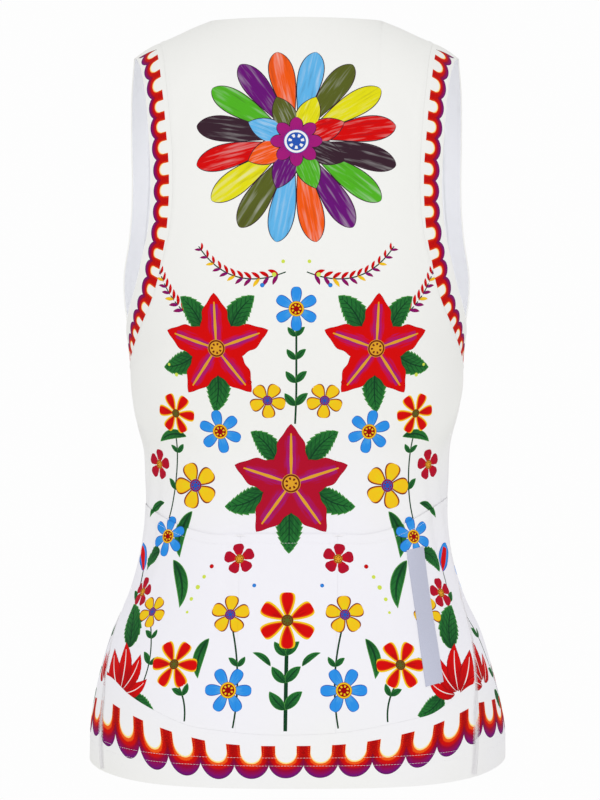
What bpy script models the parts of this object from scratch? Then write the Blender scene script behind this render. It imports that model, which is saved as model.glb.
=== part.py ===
"""A women's close-fitting sleeveless sports top, in the hollow form that it has when worn.

The back of the top faces -Y, its front faces +Y and +X is the right side as seen from behind. The origin lies
midway between the two neck ends of the shoulder seams, where the wearer's shoulders carry the top.

Every piece is a wall of cloth on one smooth surface. A point of that surface has two coordinates: its turn, the
angle round the body from the centre back towards +X, and its run, roughly the way down the cloth from the
shoulder line. Seams are lines in those coordinates, and each piece is the net of points between its seams.
"""

import bmesh
import bpy
import numpy as np

MM = 0.001
GAP = 0.3 * MM

PANEL_CLOTH = 1.2 * MM
BAND_CLOTH = 1.6 * MM
POCKET_CLOTH = 1.0 * MM
TAPE_THICKNESS = 1.0 * MM

NECK_HALF_WIDTH = 70 * MM
BACK_NECK_DROP = 2 * MM
FRONT_NECK_DROP = 76 * MM
SHOULDER_END = 130 * MM
BAND_WIDTH = 22 * MM

HEM_HEIGHT = -595 * MM
HEM_RISE_AT_SIDES = 11 * MM
TWIST_DEGREES = 3.9
TWIST_TOP = -290 * MM
TWIST_BOTTOM = -400 * MM

CENTER_POCKET_WIDTH = 75.6 * MM
MOUTH_LIFT = 1.2 * MM
MOUTH_LIFT_REACH = 22 * MM

TAPE_WIDTH = 17.5 * MM
TAPE_TOP = (91.5 * MM, -417 * MM)
TAPE_BOTTOM = (105.5 * MM, -519.5 * MM)
TAPE_END_SLOPE = 0.16
TAPE_CLEARANCE = 0.5 * MM

# How square the sections are: 2 is an ellipse. The ease is the length over which the cloth turns off the shoulder.
BACK_POWER = 2.35
FRONT_POWER = 2.5
RIDGE_EASE = 30 * MM

# Level sections of the body, from the hem up: height, half width, and the depth of the back and of the front
# from the line through both sides, in mm.
SECTIONS = (
    # height, half_width, back, front
    (-600, 166.0, 126.0, 100.0),
    (-580, 166.5, 125.5, 101.0),
    (-556, 165.5, 123.0, 102.0),
    (-532, 160.5, 118.5, 102.0),
    (-508, 154.0, 112.5, 101.0),
    (-484, 146.5, 105.0, 99.5),
    (-460, 135.0, 97.0, 97.5),
    (-436, 126.8, 89.5, 95.5),
    (-412, 121.8, 83.0, 94.0),
    (-388, 119.8, 78.5, 93.0),
    (-364, 120.6, 77.0, 94.5),
    (-340, 122.4, 79.0, 98.5),
    (-318, 129.5, 83.0, 104.5),
    (-300, 131.6, 87.5, 110.0),
    (-270, 133.0, 94.5, 118.5),
    (-234, 137.8, 101.5, 124.0),
    (-205, 141.0, 105.0, 122.5),
    (-170, 141.0, 106.5, 114.0),
    (-130, 140.3, 104.5, 102.0),
    (-90, 140.0, 99.0, 90.0),
    (-50, 139.5, 92.0, 79.0),
    (-10, 139.0, 86.5, 71.0),
    (30, 138.5, 82.0, 66.0),
)

# The shoulder line seen from behind, carried on over the neck opening, in mm. Both sides are alike.
SHOULDER_LINE = (
    # across, height
    (0, 21.0),
    (35, 13.0),
    (57, 5.0),
    (70, 0.0),
    (82, -4.8),
    (94, -10.4),
    (105, -15.2),
    (117, -20.4),
    (130, -29.2),
    (150, -48.0),
)

# How far below the shoulder line the cloth has turned down onto the body, in mm, and how sharply it turns.
SHOULDER_TURN = (
    # across, reach, power
    (0, 160, 0.40),
    (35, 118, 0.44),
    (70, 66, 0.50),
    (105, 52, 0.50),
    (150, 50, 0.50),
)

# The armhole's edge on the right side, from the back of the shoulder round under the arm to its front, in degrees
# and mm.
ARMHOLE_EDGE = (
    # turn, height
    (65.8, -48),
    (62.0, -76),
    (59.8, -101),
    (58.2, -124),
    (57.6, -148),
    (58.6, -170),
    (61.0, -188),
    (65.0, -209),
    (73.5, -231),
    (84.0, -248),
    (94.0, -255),
    (102.0, -246),
    (106.8, -222),
    (108.0, -185),
    (107.0, -130),
    (104.6, -90),
    (103.4, -58),
)

# The side seam, in degrees from the centre back before the cloth's twist.
SIDE_SEAM = (
    # height, turn
    (-600, 62.0),
    (-540, 66.0),
    (-490, 73.0),
    (-440, 82.0),
    (-400, 87.0),
    (-340, 92.0),
    (-270, 93.0),
    (-200, 93.0),
)

# The seam between the back panel and the hem band, in degrees and mm.
HEM_SEAM = (
    # turn, height
    (-80, -516),
    (-67, -519),
    (-58, -529),
    (-48, -539),
    (-36, -549),
    (-26, -552),
    (-12, -554.5),
    (3, -554.5),
    (18, -552.5),
    (28, -549),
    (38, -545),
    (46, -541),
    (54, -531),
    (60, -524),
    (75, -520),
)

# The pocket mouths, as far to the side of the centre back, in mm. The middle mouth is level.
POCKET_MOUTH = (
    # aside, height
    (0, -405),
    (36, -405),
    (60, -405.5),
    (78, -401.5),
    (95, -395),
    (108, -388),
    (124, -379),
)

# Soft folds in the cloth: place, half the length and half the width, depth (outwards), and lean from upright.
FOLDS = (
    # turn, height, half_length, half_width, depth, lean
    (-79, -352, 46, 8, -1.8, -24),
    (-70, -388, 40, 9, 1.6, -30),
    (76, -346, 44, 8, -1.8, 26),
    (66, -384, 42, 9, 1.5, 30),
    (-31, -412, 52, 8, -1.2, 4),
    (24, -402, 48, 9, -1.2, -3),
    (-102, -360, 44, 9, -1.8, 22),
    (104, -362, 46, 9, -1.8, -24),
    (-124, -318, 58, 12, 1.6, 30),
    (126, -322, 56, 12, 1.6, -30),
    (-160, -372, 52, 12, -1.4, 10),
    (158, -368, 54, 12, -1.4, -12),
    (79, -300, 34, 8, 1.4, 38),
    (-80, -306, 34, 8, 1.4, -38),
    (107, -212, 36, 21, 5.5, 0),
    (-107, -212, 36, 21, 5.5, 0),
)

SHOULDER_COLUMNS = 3
SIDE_POCKET_COLUMNS = 8
CENTER_POCKET_COLUMNS = 5
FRONT_NECK_COLUMNS = 24
HEM_ROWS = 3
POCKET_ROWS = 12
WAIST_ROWS = 7
ARMHOLE_ROWS = 16
BAND_ROWS = 3
TAPE_COLUMNS = 3
TAPE_ROWS = 9

# Where a height depends on itself through the sections, it is worked out this many times over, from a first guess.
PASSES = 6
HIP_TURN = np.radians(65)
HEM_SEAM_GUESS = -550 * MM
MOUTH_GUESS = -390 * MM

# The armhole's lines are drawn with many points, and the last few at each end run straight to the shoulder line.
LINE_POINTS = 400
END_POINTS = 10
MOVES = 12

MATERIALS = {
    # name: color, roughness
    "white_jersey": ((0.86, 0.86, 0.87), 0.75),
    "reflective_tape": ((0.52, 0.53, 0.62), 0.35),
}


def smooth_curve(keys, values):
    """A smooth function through points whose keys rise. Outside them it keeps the end values."""
    keys = np.array(keys, float)
    values = np.array(values, float)
    spans = np.diff(keys)
    rises = np.diff(values) / spans
    inner = (rises[:-1] * spans[1:] + rises[1:] * spans[:-1]) / (spans[1:] + spans[:-1])
    slopes = np.concatenate([rises[:1], inner, rises[-1:]])

    def value_at(key):
        key = np.clip(key, keys[0], keys[-1])
        i = np.clip(np.searchsorted(keys, key, side="right") - 1, 0, len(keys) - 2)
        t = (key - keys[i]) / spans[i]
        ends = (1 + 2 * t) * (1 - t) ** 2 * values[i] + t * t * (3 - 2 * t) * values[i + 1]
        leans = t * (1 - t) ** 2 * slopes[i] + t * t * (t - 1) * slopes[i + 1]
        return ends + leans * spans[i]

    return value_at


def table_curve(rows, column, unit=MM):
    """The curve of one column of a table against its first column, which is in mm."""
    return smooth_curve([row[0] * MM for row in rows], [row[column] * unit for row in rows])


half_width_at = table_curve(SECTIONS, 1)
back_depth_at = table_curve(SECTIONS, 2)
front_depth_at = table_curve(SECTIONS, 3)
shoulder_line_at = table_curve(SHOULDER_LINE, 1)
shoulder_reach_at = table_curve(SHOULDER_TURN, 1)
shoulder_power_at = table_curve(SHOULDER_TURN, 2, 1)
seam_turn_at = table_curve(SIDE_SEAM, 1, np.radians(1))
mouth_height_at = table_curve(POCKET_MOUTH, 1)
hem_seam_height_at = smooth_curve([np.radians(row[0]) for row in HEM_SEAM], [row[1] * MM for row in HEM_SEAM])


def fold_relief(turn, height):
    """How far the folds push the cloth outwards."""
    relief = np.zeros(np.broadcast(turn, height).shape)
    for fold_turn, fold_height, half_length, half_width, depth, lean in FOLDS:
        away = (turn - np.radians(fold_turn) + np.pi) % (2 * np.pi) - np.pi
        aside = away * half_width_at(height)
        above = height - fold_height * MM
        lean = np.radians(lean)
        along = above * np.cos(lean) + aside * np.sin(lean)
        across = aside * np.cos(lean) - above * np.sin(lean)
        fade = (along / (half_length * MM)) ** 2 + (across / (half_width * MM)) ** 2
        relief = relief + depth * MM * np.exp(-fade)
    return relief


def body_section(turn, height):
    """The distances to the side and ahead of a point on the body, before the shoulders are rounded over."""
    is_front = np.cos(turn) < 0
    power = np.where(is_front, FRONT_POWER, BACK_POWER)
    depth = np.where(is_front, front_depth_at(height), back_depth_at(height))
    sideways = np.abs(np.sin(turn)) / half_width_at(height)
    onwards = np.abs(np.cos(turn)) / depth
    radius = (sideways**power + onwards**power) ** (-1 / power) + fold_relief(turn, height)
    return radius * np.sin(turn), -radius * np.cos(turn)


def surface(turn, run):
    """The point of the cloth's outer face at this turn and run."""
    drop = run * run / (run + RIDGE_EASE)
    height = -drop
    for _ in range(PASSES):
        across, ahead = body_section(turn, height)
        height = shoulder_line_at(np.abs(across)) - drop
    across, ahead = body_section(turn, height)
    share = np.clip(1 - drop / shoulder_reach_at(np.abs(across)), 0, 1)
    ahead = ahead * (1 - share**2) ** shoulder_power_at(np.abs(across))
    return np.stack(np.broadcast_arrays(across, ahead, height), axis=-1)


def run_at(turn, height):
    """The run of the point at this turn and height."""
    across, _ = body_section(turn, height)
    drop = np.maximum(shoulder_line_at(np.abs(across)) - height, 0)
    return (drop + np.sqrt(drop * drop + 4 * drop * RIDGE_EASE)) / 2


def turn_at(across, height, is_front=False):
    """The turn of the point this far to the side at this height, on the back or on the front."""
    power = FRONT_POWER if is_front else BACK_POWER
    depth = front_depth_at(height) if is_front else -back_depth_at(height)
    share = np.clip(np.abs(across) / half_width_at(height), 0, 1)
    return np.arctan2(across, -depth * (1 - share**power) ** (1 / power))


def surface_slopes(turn, run):
    """How the surface's point changes with its turn and with its run."""
    step = 1e-4
    by_turn = (surface(turn + step, run) - surface(turn - step, run)) / (2 * step)
    low_run = np.maximum(run - step, 0)
    by_run = (surface(turn, run + step) - surface(turn, low_run)) / (run + step - low_run)[..., None]
    return by_turn, by_run


def outward(turn, run):
    """The unit vectors that point out of the cloth."""
    by_turn, by_run = surface_slopes(turn, run)
    normal = np.cross(by_run, by_turn)
    return normal / np.linalg.norm(normal, axis=-1, keepdims=True)


def net_of(turn, run):
    return np.stack(np.broadcast_arrays(turn, run), axis=-1)


def length_along(path):
    """The length of a path of nets' points, from its start to each of them."""
    points = surface(path[:, 0], path[:, 1])
    steps = np.linalg.norm(np.diff(points, axis=0), axis=1)
    return np.concatenate([[0], np.cumsum(steps)])


def path_through(points, count):
    """A smooth path through points of turn and run, as this many points evenly spaced along the cloth."""
    keys = length_along(points)
    turn_on, run_on = smooth_curve(keys, points[:, 0]), smooth_curve(keys, points[:, 1])
    fine = np.linspace(0, keys[-1], count)
    return net_of(turn_on(fine), np.maximum(run_on(fine), 0))


def straighten_end(path):
    """Runs the start of a path straight on to the shoulder line."""
    near, far = path[END_POINTS], path[2 * END_POINTS]
    start_turn = near[0] - (far[0] - near[0]) / (far[1] - near[1]) * near[1]
    path[: END_POINTS + 1, 0] = np.linspace(start_turn, near[0], END_POINTS + 1)
    path[: END_POINTS + 1, 1] = np.linspace(0, near[1], END_POINTS + 1)


def moved_aside(path, distance):
    """A path moved sideways along the cloth, away from the armhole, with its ends kept on the shoulder line."""
    path = path.copy()
    for _ in range(MOVES):
        by_turn, by_run = surface_slopes(path[:, 0], path[:, 1])
        ahead = np.gradient(path, axis=0)
        turn_turn = np.sum(by_turn * by_turn, axis=1)
        turn_run = np.sum(by_turn * by_run, axis=1)
        run_run = np.sum(by_run * by_run, axis=1)
        aside_turn = -(turn_run * ahead[:, 0] + run_run * ahead[:, 1])
        aside_run = turn_turn * ahead[:, 0] + turn_run * ahead[:, 1]
        size = np.linalg.norm(by_turn * aside_turn[:, None] + by_run * aside_run[:, None], axis=1)
        path[:, 0] += aside_turn / size * distance / MOVES
        path[:, 1] += aside_run / size * distance / MOVES
        straighten_end(path)
        straighten_end(path[::-1])
    return path


def armhole_path():
    """The edge of the right armhole, from the back of the shoulder to its front."""
    end_height = shoulder_line_at(SHOULDER_END)
    ends = [turn_at(SHOULDER_END, end_height, is_front) for is_front in (False, True)]
    turns = np.radians([row[0] for row in ARMHOLE_EDGE])
    heights = np.array([row[1] for row in ARMHOLE_EDGE]) * MM
    middle = net_of(turns, run_at(turns, heights))
    points = np.concatenate([[[ends[0], 0]], middle, [[ends[1], 0]]])
    return path_through(points, LINE_POINTS)


def even_share(path, start, end, count):
    """Places on a path, in fractions of its points, that are evenly spaced along the cloth."""
    lengths = length_along(path)
    places = np.linspace(0, 1, len(path))
    from_length, to_length = np.interp([start, end], places, lengths)
    return np.interp(np.linspace(from_length, to_length, count), lengths, places)


def at_places(path, places):
    own = np.linspace(0, 1, len(path))
    return net_of(np.interp(places, own, path[:, 0]), np.interp(places, own, path[:, 1]))


def armhole_lines():
    """The armhole's edge, the band's inner edge and the panels' edge, which share their places.

    The point ARMHOLE_ROWS from either end lies on the side seam.
    """
    edge = armhole_path()
    band_side = moved_aside(edge, BAND_WIDTH - GAP / 2)
    panel_side = moved_aside(edge, BAND_WIDTH + GAP / 2)
    heights = surface(panel_side[:, 0], panel_side[:, 1])[:, 2]
    past_seam = panel_side[:, 0] - seam_turn_at(heights)
    i = np.argmax(past_seam > 0)
    crossing = (i - past_seam[i] / (past_seam[i] - past_seam[i - 1])) / (len(edge) - 1)
    back_places = even_share(panel_side, 0, crossing, ARMHOLE_ROWS + 1)
    front_places = even_share(panel_side, crossing, 1, ARMHOLE_ROWS + 1)
    places = np.concatenate([back_places, front_places[1:]])
    lines = [at_places(path, places) for path in (edge, band_side, panel_side)]
    for line in lines:
        line[0, 1] = line[-1, 1] = seam_run(line[0, 0])
    return lines


def seam_run(turn):
    """The run at which the cloth lies half a gap from the shoulder line."""
    step = 0.5 * MM
    return GAP / 2 * step / np.abs(surface(turn, np.array(step))[..., 1])


def mirrored(path):
    return path * (-1, 1)


def twist_at(height):
    """The angle by which the cloth is turned on the body at this height."""
    share = np.clip((TWIST_TOP - height) / (TWIST_TOP - TWIST_BOTTOM), 0, 1)
    return np.radians(TWIST_DEGREES) * share * share * (3 - 2 * share)


def center_back_at(height):
    """How far the centre back lies to the side at this height."""
    return -back_depth_at(height) * np.tan(twist_at(height))


def side_seam_turn(height, side):
    return side * seam_turn_at(height) - twist_at(height)


def side_seam_path(side, heights, inset):
    """The side seam's points at these heights, moved off the seam towards the centre back by the inset."""
    turns = side_seam_turn(heights, side) - side * inset / half_width_at(heights)
    return net_of(turns, run_at(turns, heights))


def side_foot_height(side):
    """The height at which the hem seam meets the side seam."""
    height = HEM_SEAM_GUESS
    for _ in range(PASSES):
        height = hem_seam_height_at(side_seam_turn(height, side))
    return height


def hem_height_at(turn):
    """The height of the hem's edge, which is lowest over the back and level round the front."""
    rise = np.where(np.cos(turn) > 0, np.abs(np.sin(turn)) ** 8, 1)
    return HEM_HEIGHT + HEM_RISE_AT_SIDES * rise


def hem_corner_height(side):
    """The height at which the hem's edge meets the side seam."""
    return hem_height_at(side_seam_turn(hem_height_at(HIP_TURN), side))


def patch(left, right, bottom, top):
    """The net between four edges: rows from the bottom to the top, columns from the left to the right."""
    rises = [(side[0, 1] - side[:, 1]) / (side[0, 1] - side[-1, 1]) for side in (left, right)]
    up = (sum(rises) / 2)[:, None, None]
    over = np.linspace(0, 1, len(bottom))[None, :, None]
    between_sides = left[:, None] * (1 - over) + right[:, None] * over
    between_ends = bottom[None] * (1 - up) + top[None] * up
    low = bottom[0] * (1 - over) + bottom[-1] * over
    high = top[0] * (1 - over) + top[-1] * over
    return between_sides + between_ends - (low * (1 - up) + high * up)


def wall(name, net, inner, outer, material):
    """A closed wall of cloth between two offsets from the surface, on a net of turns and runs."""
    points = surface(net[..., 0], net[..., 1])
    normals = outward(net[..., 0], net[..., 1])
    inner_points = points + normals * np.asarray(inner)[..., None]
    outer_points = points + normals * np.asarray(outer)[..., None]
    rows, columns = net.shape[:2]
    mesh = bpy.data.meshes.new(name)
    shell = bmesh.new()
    inside = [[shell.verts.new(point) for point in row] for row in inner_points]
    outside = [[shell.verts.new(point) for point in row] for row in outer_points]
    for i in range(rows - 1):
        for j in range(columns - 1):
            corners = ((i, j), (i, j + 1), (i + 1, j + 1), (i + 1, j))
            shell.faces.new([outside[a][b] for a, b in corners])
            shell.faces.new([inside[a][b] for a, b in reversed(corners)])
    rim = [(0, j) for j in range(columns)]
    rim += [(i, columns - 1) for i in range(1, rows)]
    rim += [(rows - 1, j) for j in range(columns - 2, -1, -1)]
    rim += [(i, 0) for i in range(rows - 2, 0, -1)]
    for (a, b), (c, d) in zip(rim, rim[1:] + rim[:1]):
        shell.faces.new((inside[a][b], inside[c][d], outside[c][d], outside[a][b]))
    bmesh.ops.recalc_face_normals(shell, faces=shell.faces)
    bmesh.ops.triangulate(shell, faces=shell.faces)
    shell.to_mesh(mesh)
    shell.free()
    mesh.shade_smooth()
    mesh.set_sharp_from_angle(angle=np.radians(40))
    mesh.materials.append(material)
    piece = bpy.data.objects.new(name, mesh)
    bpy.context.collection.objects.link(piece)
    return piece


def make_material(name, color, roughness):
    material = bpy.data.materials.new(name)
    material.use_nodes = True
    shader = material.node_tree.nodes["Principled BSDF"]
    shader.inputs["Base Color"].default_value = (*color, 1)
    shader.inputs["Roughness"].default_value = roughness
    shader.inputs["Metallic"].default_value = 0
    return material


def neck_line(is_front, corner_turns, count):
    """The neckline from one shoulder seam to the other, and how far it lies below the shoulder line."""
    swing = np.linspace(-np.pi / 2, np.pi / 2, count)
    across = NECK_HALF_WIDTH * np.sin(swing)
    if is_front:
        across = -across
        height = -FRONT_NECK_DROP * np.cos(swing)
    else:
        height = -BACK_NECK_DROP * (1 - np.sin(swing) ** 8)
    turns = turn_at(across, height, is_front)
    if is_front:
        turns = turns % (2 * np.pi)
    turns[0], turns[-1] = corner_turns
    line = net_of(turns, run_at(turns, height))
    line[0, 1], line[-1, 1] = seam_run(line[0, 0]), seam_run(line[-1, 0])
    return line


def shoulder_seam_line(band_turn, is_front, count):
    """The shoulder seam on the right, from the armhole band to the neck."""
    band_across = surface(band_turn, np.array(0.0))[0]
    across = np.linspace(band_across, NECK_HALF_WIDTH, count)
    turns = turn_at(across, shoulder_line_at(across), is_front)
    turns[0] = band_turn
    return net_of(turns, seam_run(turns))


def top_edge(panel_side, is_front, neck_columns):
    """The top of a panel, along one shoulder seam, the neckline and the other shoulder seam."""
    band_turn = panel_side[-1 if is_front else 0, 0]
    seam = shoulder_seam_line(band_turn, is_front, SHOULDER_COLUMNS + 1)
    if is_front:
        first, last = seam, around_front(seam)[::-1]
    else:
        first, last = mirrored(seam), seam[::-1]
    neck = neck_line(is_front, (first[-1, 0], last[0, 0]), neck_columns + 1)
    return np.concatenate([first, neck[1:-1], last])


def around_front(path):
    """The left side's copy of a path on the right, with its turns counted on round the front."""
    return np.stack([2 * np.pi - path[:, 0], path[:, 1]], axis=1)


def divider_path(side):
    """The line between the middle pocket and the one on this side, from the hem seam to the mouth."""
    foot, mouth = divider_foot_height(side), mouth_height_at(CENTER_POCKET_WIDTH / 2)
    heights = np.linspace(foot, mouth, POCKET_ROWS + 1)
    across = center_back_at(heights) + side * CENTER_POCKET_WIDTH / 2
    turns = turn_at(across, heights)
    return net_of(turns, run_at(turns, heights))


def divider_foot_height(side):
    """The height at which a pocket divider meets the hem seam."""
    height = HEM_SEAM_GUESS
    for _ in range(PASSES):
        across = center_back_at(height) + side * CENTER_POCKET_WIDTH / 2
        height = hem_seam_height_at(turn_at(across, height)) + GAP / 2
    return height


def hem_seam_path(start, end, count, shift):
    """The hem seam between two turns, moved up by the shift."""
    turns = np.linspace(start, end, count)
    return net_of(turns, run_at(turns, hem_seam_height_at(turns) + shift))


def mouth_path(start, end, count):
    """The line of the pocket mouths between two turns."""
    turns = np.linspace(start, end, count)
    height = np.full(count, MOUTH_GUESS)
    for _ in range(PASSES):
        across, _ = body_section(turns, height)
        height = mouth_height_at(np.abs(across - center_back_at(height)))
    return net_of(turns, run_at(turns, height))


def mouth_height_at_seam(side):
    """The height at which a side pocket's mouth meets the side seam."""
    height = MOUTH_GUESS
    for _ in range(PASSES):
        across, _ = body_section(side_seam_turn(height, side), height)
        height = mouth_height_at(np.abs(across - center_back_at(height)))
    return height


def pocket_nets():
    """The nets of the three pockets, side by side, which are also the foot of the back panel."""
    edges = []
    for side in (-1, 1):
        heights = np.linspace(side_foot_height(side) + GAP / 2, mouth_height_at_seam(side), POCKET_ROWS + 1)
        edges.append(side_seam_path(side, heights, GAP / 2))
    left_edge, right_edge = edges
    borders = (left_edge, divider_path(-1), divider_path(1), right_edge)
    counts = (SIDE_POCKET_COLUMNS, CENTER_POCKET_COLUMNS, SIDE_POCKET_COLUMNS)
    nets = []
    for left, right, columns in zip(borders, borders[1:], counts):
        bottom = hem_seam_path(left[0, 0], right[0, 0], columns + 1, GAP / 2)
        top = mouth_path(left[-1, 0], right[-1, 0], columns + 1)
        bottom[0], bottom[-1], top[0], top[-1] = left[0], right[0], left[-1], right[-1]
        nets.append(patch(left, right, bottom, top))
    return nets


def side_edge(side, start_height, panel_side, inset, rows):
    """A panel's edge up the side seam from a height to the underarm."""
    corner = panel_side[ARMHOLE_ROWS].copy()
    end_height = surface(corner[0], corner[1])[2]
    heights = np.linspace(start_height, end_height, rows + 1)
    return side_seam_path(side, heights, inset)


def chest_line(left, right, count):
    """The straight line between the two underarm corners."""
    return net_of(np.linspace(left[0], right[0], count), np.linspace(left[1], right[1], count))


def back_net(panel_side, pockets):
    foot = np.concatenate([pockets[0], pockets[1][:, 1:], pockets[2][:, 1:]], axis=1)
    armhole = panel_side[: ARMHOLE_ROWS + 1][::-1]
    low_edges, high_edges = [], []
    for side in (-1, 1):
        low = side_edge(side, mouth_height_at_seam(side), panel_side, GAP / 2, WAIST_ROWS)
        high = armhole.copy() if side > 0 else mirrored(armhole)
        high[0, 0] = low[-1, 0]
        low[-1] = high[0]
        low_edges.append(low)
        high_edges.append(high)
    columns = len(foot[0])
    chest = chest_line(high_edges[0][0], high_edges[1][0], columns)
    top = top_edge(panel_side, False, columns - 1 - 2 * SHOULDER_COLUMNS)
    lower = patch(low_edges[0], low_edges[1], foot[-1], chest)
    upper = patch(high_edges[0], high_edges[1], chest, top)
    return np.concatenate([foot, lower[1:], upper[1:]], axis=0)


def front_net(panel_side):
    armhole = panel_side[ARMHOLE_ROWS:]
    low_edges, high_edges = [], []
    for side in (1, -1):
        foot = side_foot_height(side)
        waist = mouth_height_at_seam(side)
        hem_path = side_seam_path(side, np.linspace(hem_corner_height(side), foot, HEM_ROWS + 1), -GAP / 2)
        pocket_path = side_seam_path(side, np.linspace(foot, waist, POCKET_ROWS + 1), -GAP / 2)
        waist_path = side_edge(side, waist, panel_side, -GAP / 2, WAIST_ROWS)
        low = np.concatenate([hem_path[:-1], pocket_path[:-1], waist_path])
        high = armhole.copy() if side > 0 else around_front(armhole)
        if side < 0:
            low = low + (2 * np.pi, 0)
        high[0, 0] = low[-1, 0]
        low[-1] = high[0]
        low_edges.append(low)
        high_edges.append(high)
    top = top_edge(panel_side, True, FRONT_NECK_COLUMNS)
    turns = np.linspace(low_edges[0][0, 0], low_edges[1][0, 0], len(top))
    bottom = net_of(turns, run_at(turns, hem_height_at(turns)))
    bottom[0], bottom[-1] = low_edges[0][0], low_edges[1][0]
    chest = chest_line(high_edges[0][0], high_edges[1][0], len(top))
    lower = patch(low_edges[0], low_edges[1], bottom, chest)
    upper = patch(high_edges[0], high_edges[1], chest, top)
    return np.concatenate([lower, upper[1:]], axis=0)


def hem_band_net(back):
    """The back's hem band, whose columns continue those of the back panel."""
    turns = back[0, :, 0]
    top = net_of(turns, run_at(turns, hem_seam_height_at(turns) - GAP / 2))
    edges = []
    for side in (-1, 1):
        heights = np.linspace(hem_corner_height(side), side_foot_height(side) - GAP / 2, HEM_ROWS + 1)
        edges.append(side_seam_path(side, heights, GAP / 2))
    bottom_turns = np.interp(turns, (turns[0], turns[-1]), (edges[0][0, 0], edges[1][0, 0]))
    bottom = net_of(bottom_turns, run_at(bottom_turns, hem_height_at(bottom_turns)))
    top[0], top[-1], bottom[0], bottom[-1] = edges[0][-1], edges[1][-1], edges[0][0], edges[1][0]
    return patch(edges[0], edges[1], bottom, top)


def armhole_band_net(edge, band_side):
    """The right armhole band, across its width."""
    share = np.linspace(0, 1, BAND_ROWS + 1)[:, None, None]
    return edge[None] * (1 - share) + band_side[None] * share


def inset_sides(net, distance):
    """A copy of a net with its first and last columns moved inwards along the cloth."""
    net = net.copy()
    for column, way in ((0, 1), (-1, -1)):
        by_turn, _ = surface_slopes(net[:, column, 0], net[:, column, 1])
        net[:, column, 0] += way * distance / np.linalg.norm(by_turn, axis=1)
    return net


def mouth_lift(net):
    """How far a pocket stands off the back panel: most at its mouth, and held down at its sides."""
    points = surface(net[..., 0], net[..., 1])
    below = points[-1:, :, 2] - points[..., 2]
    sides = np.sin(np.linspace(0, np.pi, net.shape[1])) ** 0.5
    return MOUTH_LIFT * np.exp(-((below / MOUTH_LIFT_REACH) ** 2)) * sides[None, :]


def lift_beside(pocket, net):
    """The most that a pocket's own rows stand off the back panel at the heights of a net that lies on it."""
    middle = pocket[:, pocket.shape[1] // 2]
    heights = surface(middle[:, 0], middle[:, 1])[:, 2]
    net_heights = surface(net[..., 0], net[..., 1])[..., 2]
    return np.interp(net_heights, heights, mouth_lift(pocket).max(axis=1))


def tape_net():
    """The reflective tape's net, a straight strip that leans with the side of the hip."""
    share = np.linspace(0, 1, TAPE_ROWS + 1)
    across = TAPE_BOTTOM[0] + (TAPE_TOP[0] - TAPE_BOTTOM[0]) * share
    heights = TAPE_BOTTOM[1] + (TAPE_TOP[1] - TAPE_BOTTOM[1]) * share
    turns = turn_at(across, heights)
    by_turn, _ = surface_slopes(turns, run_at(turns, heights))
    half = TAPE_WIDTH / 2 / np.linalg.norm(by_turn[:, :2], axis=1)
    over = np.linspace(-1, 1, TAPE_COLUMNS + 1)
    net_turns = turns[:, None] + half[:, None] * over
    net_heights = heights[:, None] + TAPE_WIDTH / 2 * TAPE_END_SLOPE * over
    return net_of(net_turns, run_at(net_turns, net_heights))


def clear_scene():
    for thing in list(bpy.data.objects):
        bpy.data.objects.remove(thing)


def build():
    clear_scene()
    materials = {name: make_material(name, *look) for name, look in MATERIALS.items()}
    jersey = materials["white_jersey"]
    edge, band_side, panel_side = armhole_lines()
    pockets = pocket_nets()
    back = back_net(panel_side, pockets)
    wall("back_panel", back, -PANEL_CLOTH, 0, jersey)
    wall("front_panel", front_net(panel_side), -PANEL_CLOTH, 0, jersey)
    wall("hem_band_back", hem_band_net(back), -BAND_CLOTH, 0, jersey)
    band = armhole_band_net(edge, band_side)
    wall("armhole_band_right", band, -BAND_CLOTH, 0, jersey)
    wall("armhole_band_left", mirrored(band), -BAND_CLOTH, 0, jersey)
    for name, net in zip(("pocket_left", "pocket_center", "pocket_right"), pockets):
        lift = GAP + mouth_lift(net)
        wall(name, inset_sides(net, GAP / 2), lift, lift + POCKET_CLOTH, jersey)
    tape = tape_net()
    tape_lift = GAP + POCKET_CLOTH + TAPE_CLEARANCE + lift_beside(pockets[2], tape)
    wall("reflective_strip", tape, tape_lift, tape_lift + TAPE_THICKNESS, materials["reflective_tape"])


build()
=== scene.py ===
import math

import bmesh
import bpy
import numpy as np
from mathutils import Matrix


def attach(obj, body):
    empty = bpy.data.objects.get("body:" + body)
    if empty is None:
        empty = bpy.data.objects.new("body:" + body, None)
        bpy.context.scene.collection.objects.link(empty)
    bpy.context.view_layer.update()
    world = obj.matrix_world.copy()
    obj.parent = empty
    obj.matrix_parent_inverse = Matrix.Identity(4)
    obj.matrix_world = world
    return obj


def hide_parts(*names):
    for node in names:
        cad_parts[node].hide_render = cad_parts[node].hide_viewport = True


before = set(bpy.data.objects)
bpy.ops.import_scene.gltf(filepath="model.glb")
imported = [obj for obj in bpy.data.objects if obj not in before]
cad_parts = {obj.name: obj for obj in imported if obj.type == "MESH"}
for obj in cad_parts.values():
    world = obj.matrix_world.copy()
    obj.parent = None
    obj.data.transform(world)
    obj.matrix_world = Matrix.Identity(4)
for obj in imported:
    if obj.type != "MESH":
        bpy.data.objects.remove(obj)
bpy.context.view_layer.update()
mm = 0.001
degree = math.radians(1)

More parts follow.
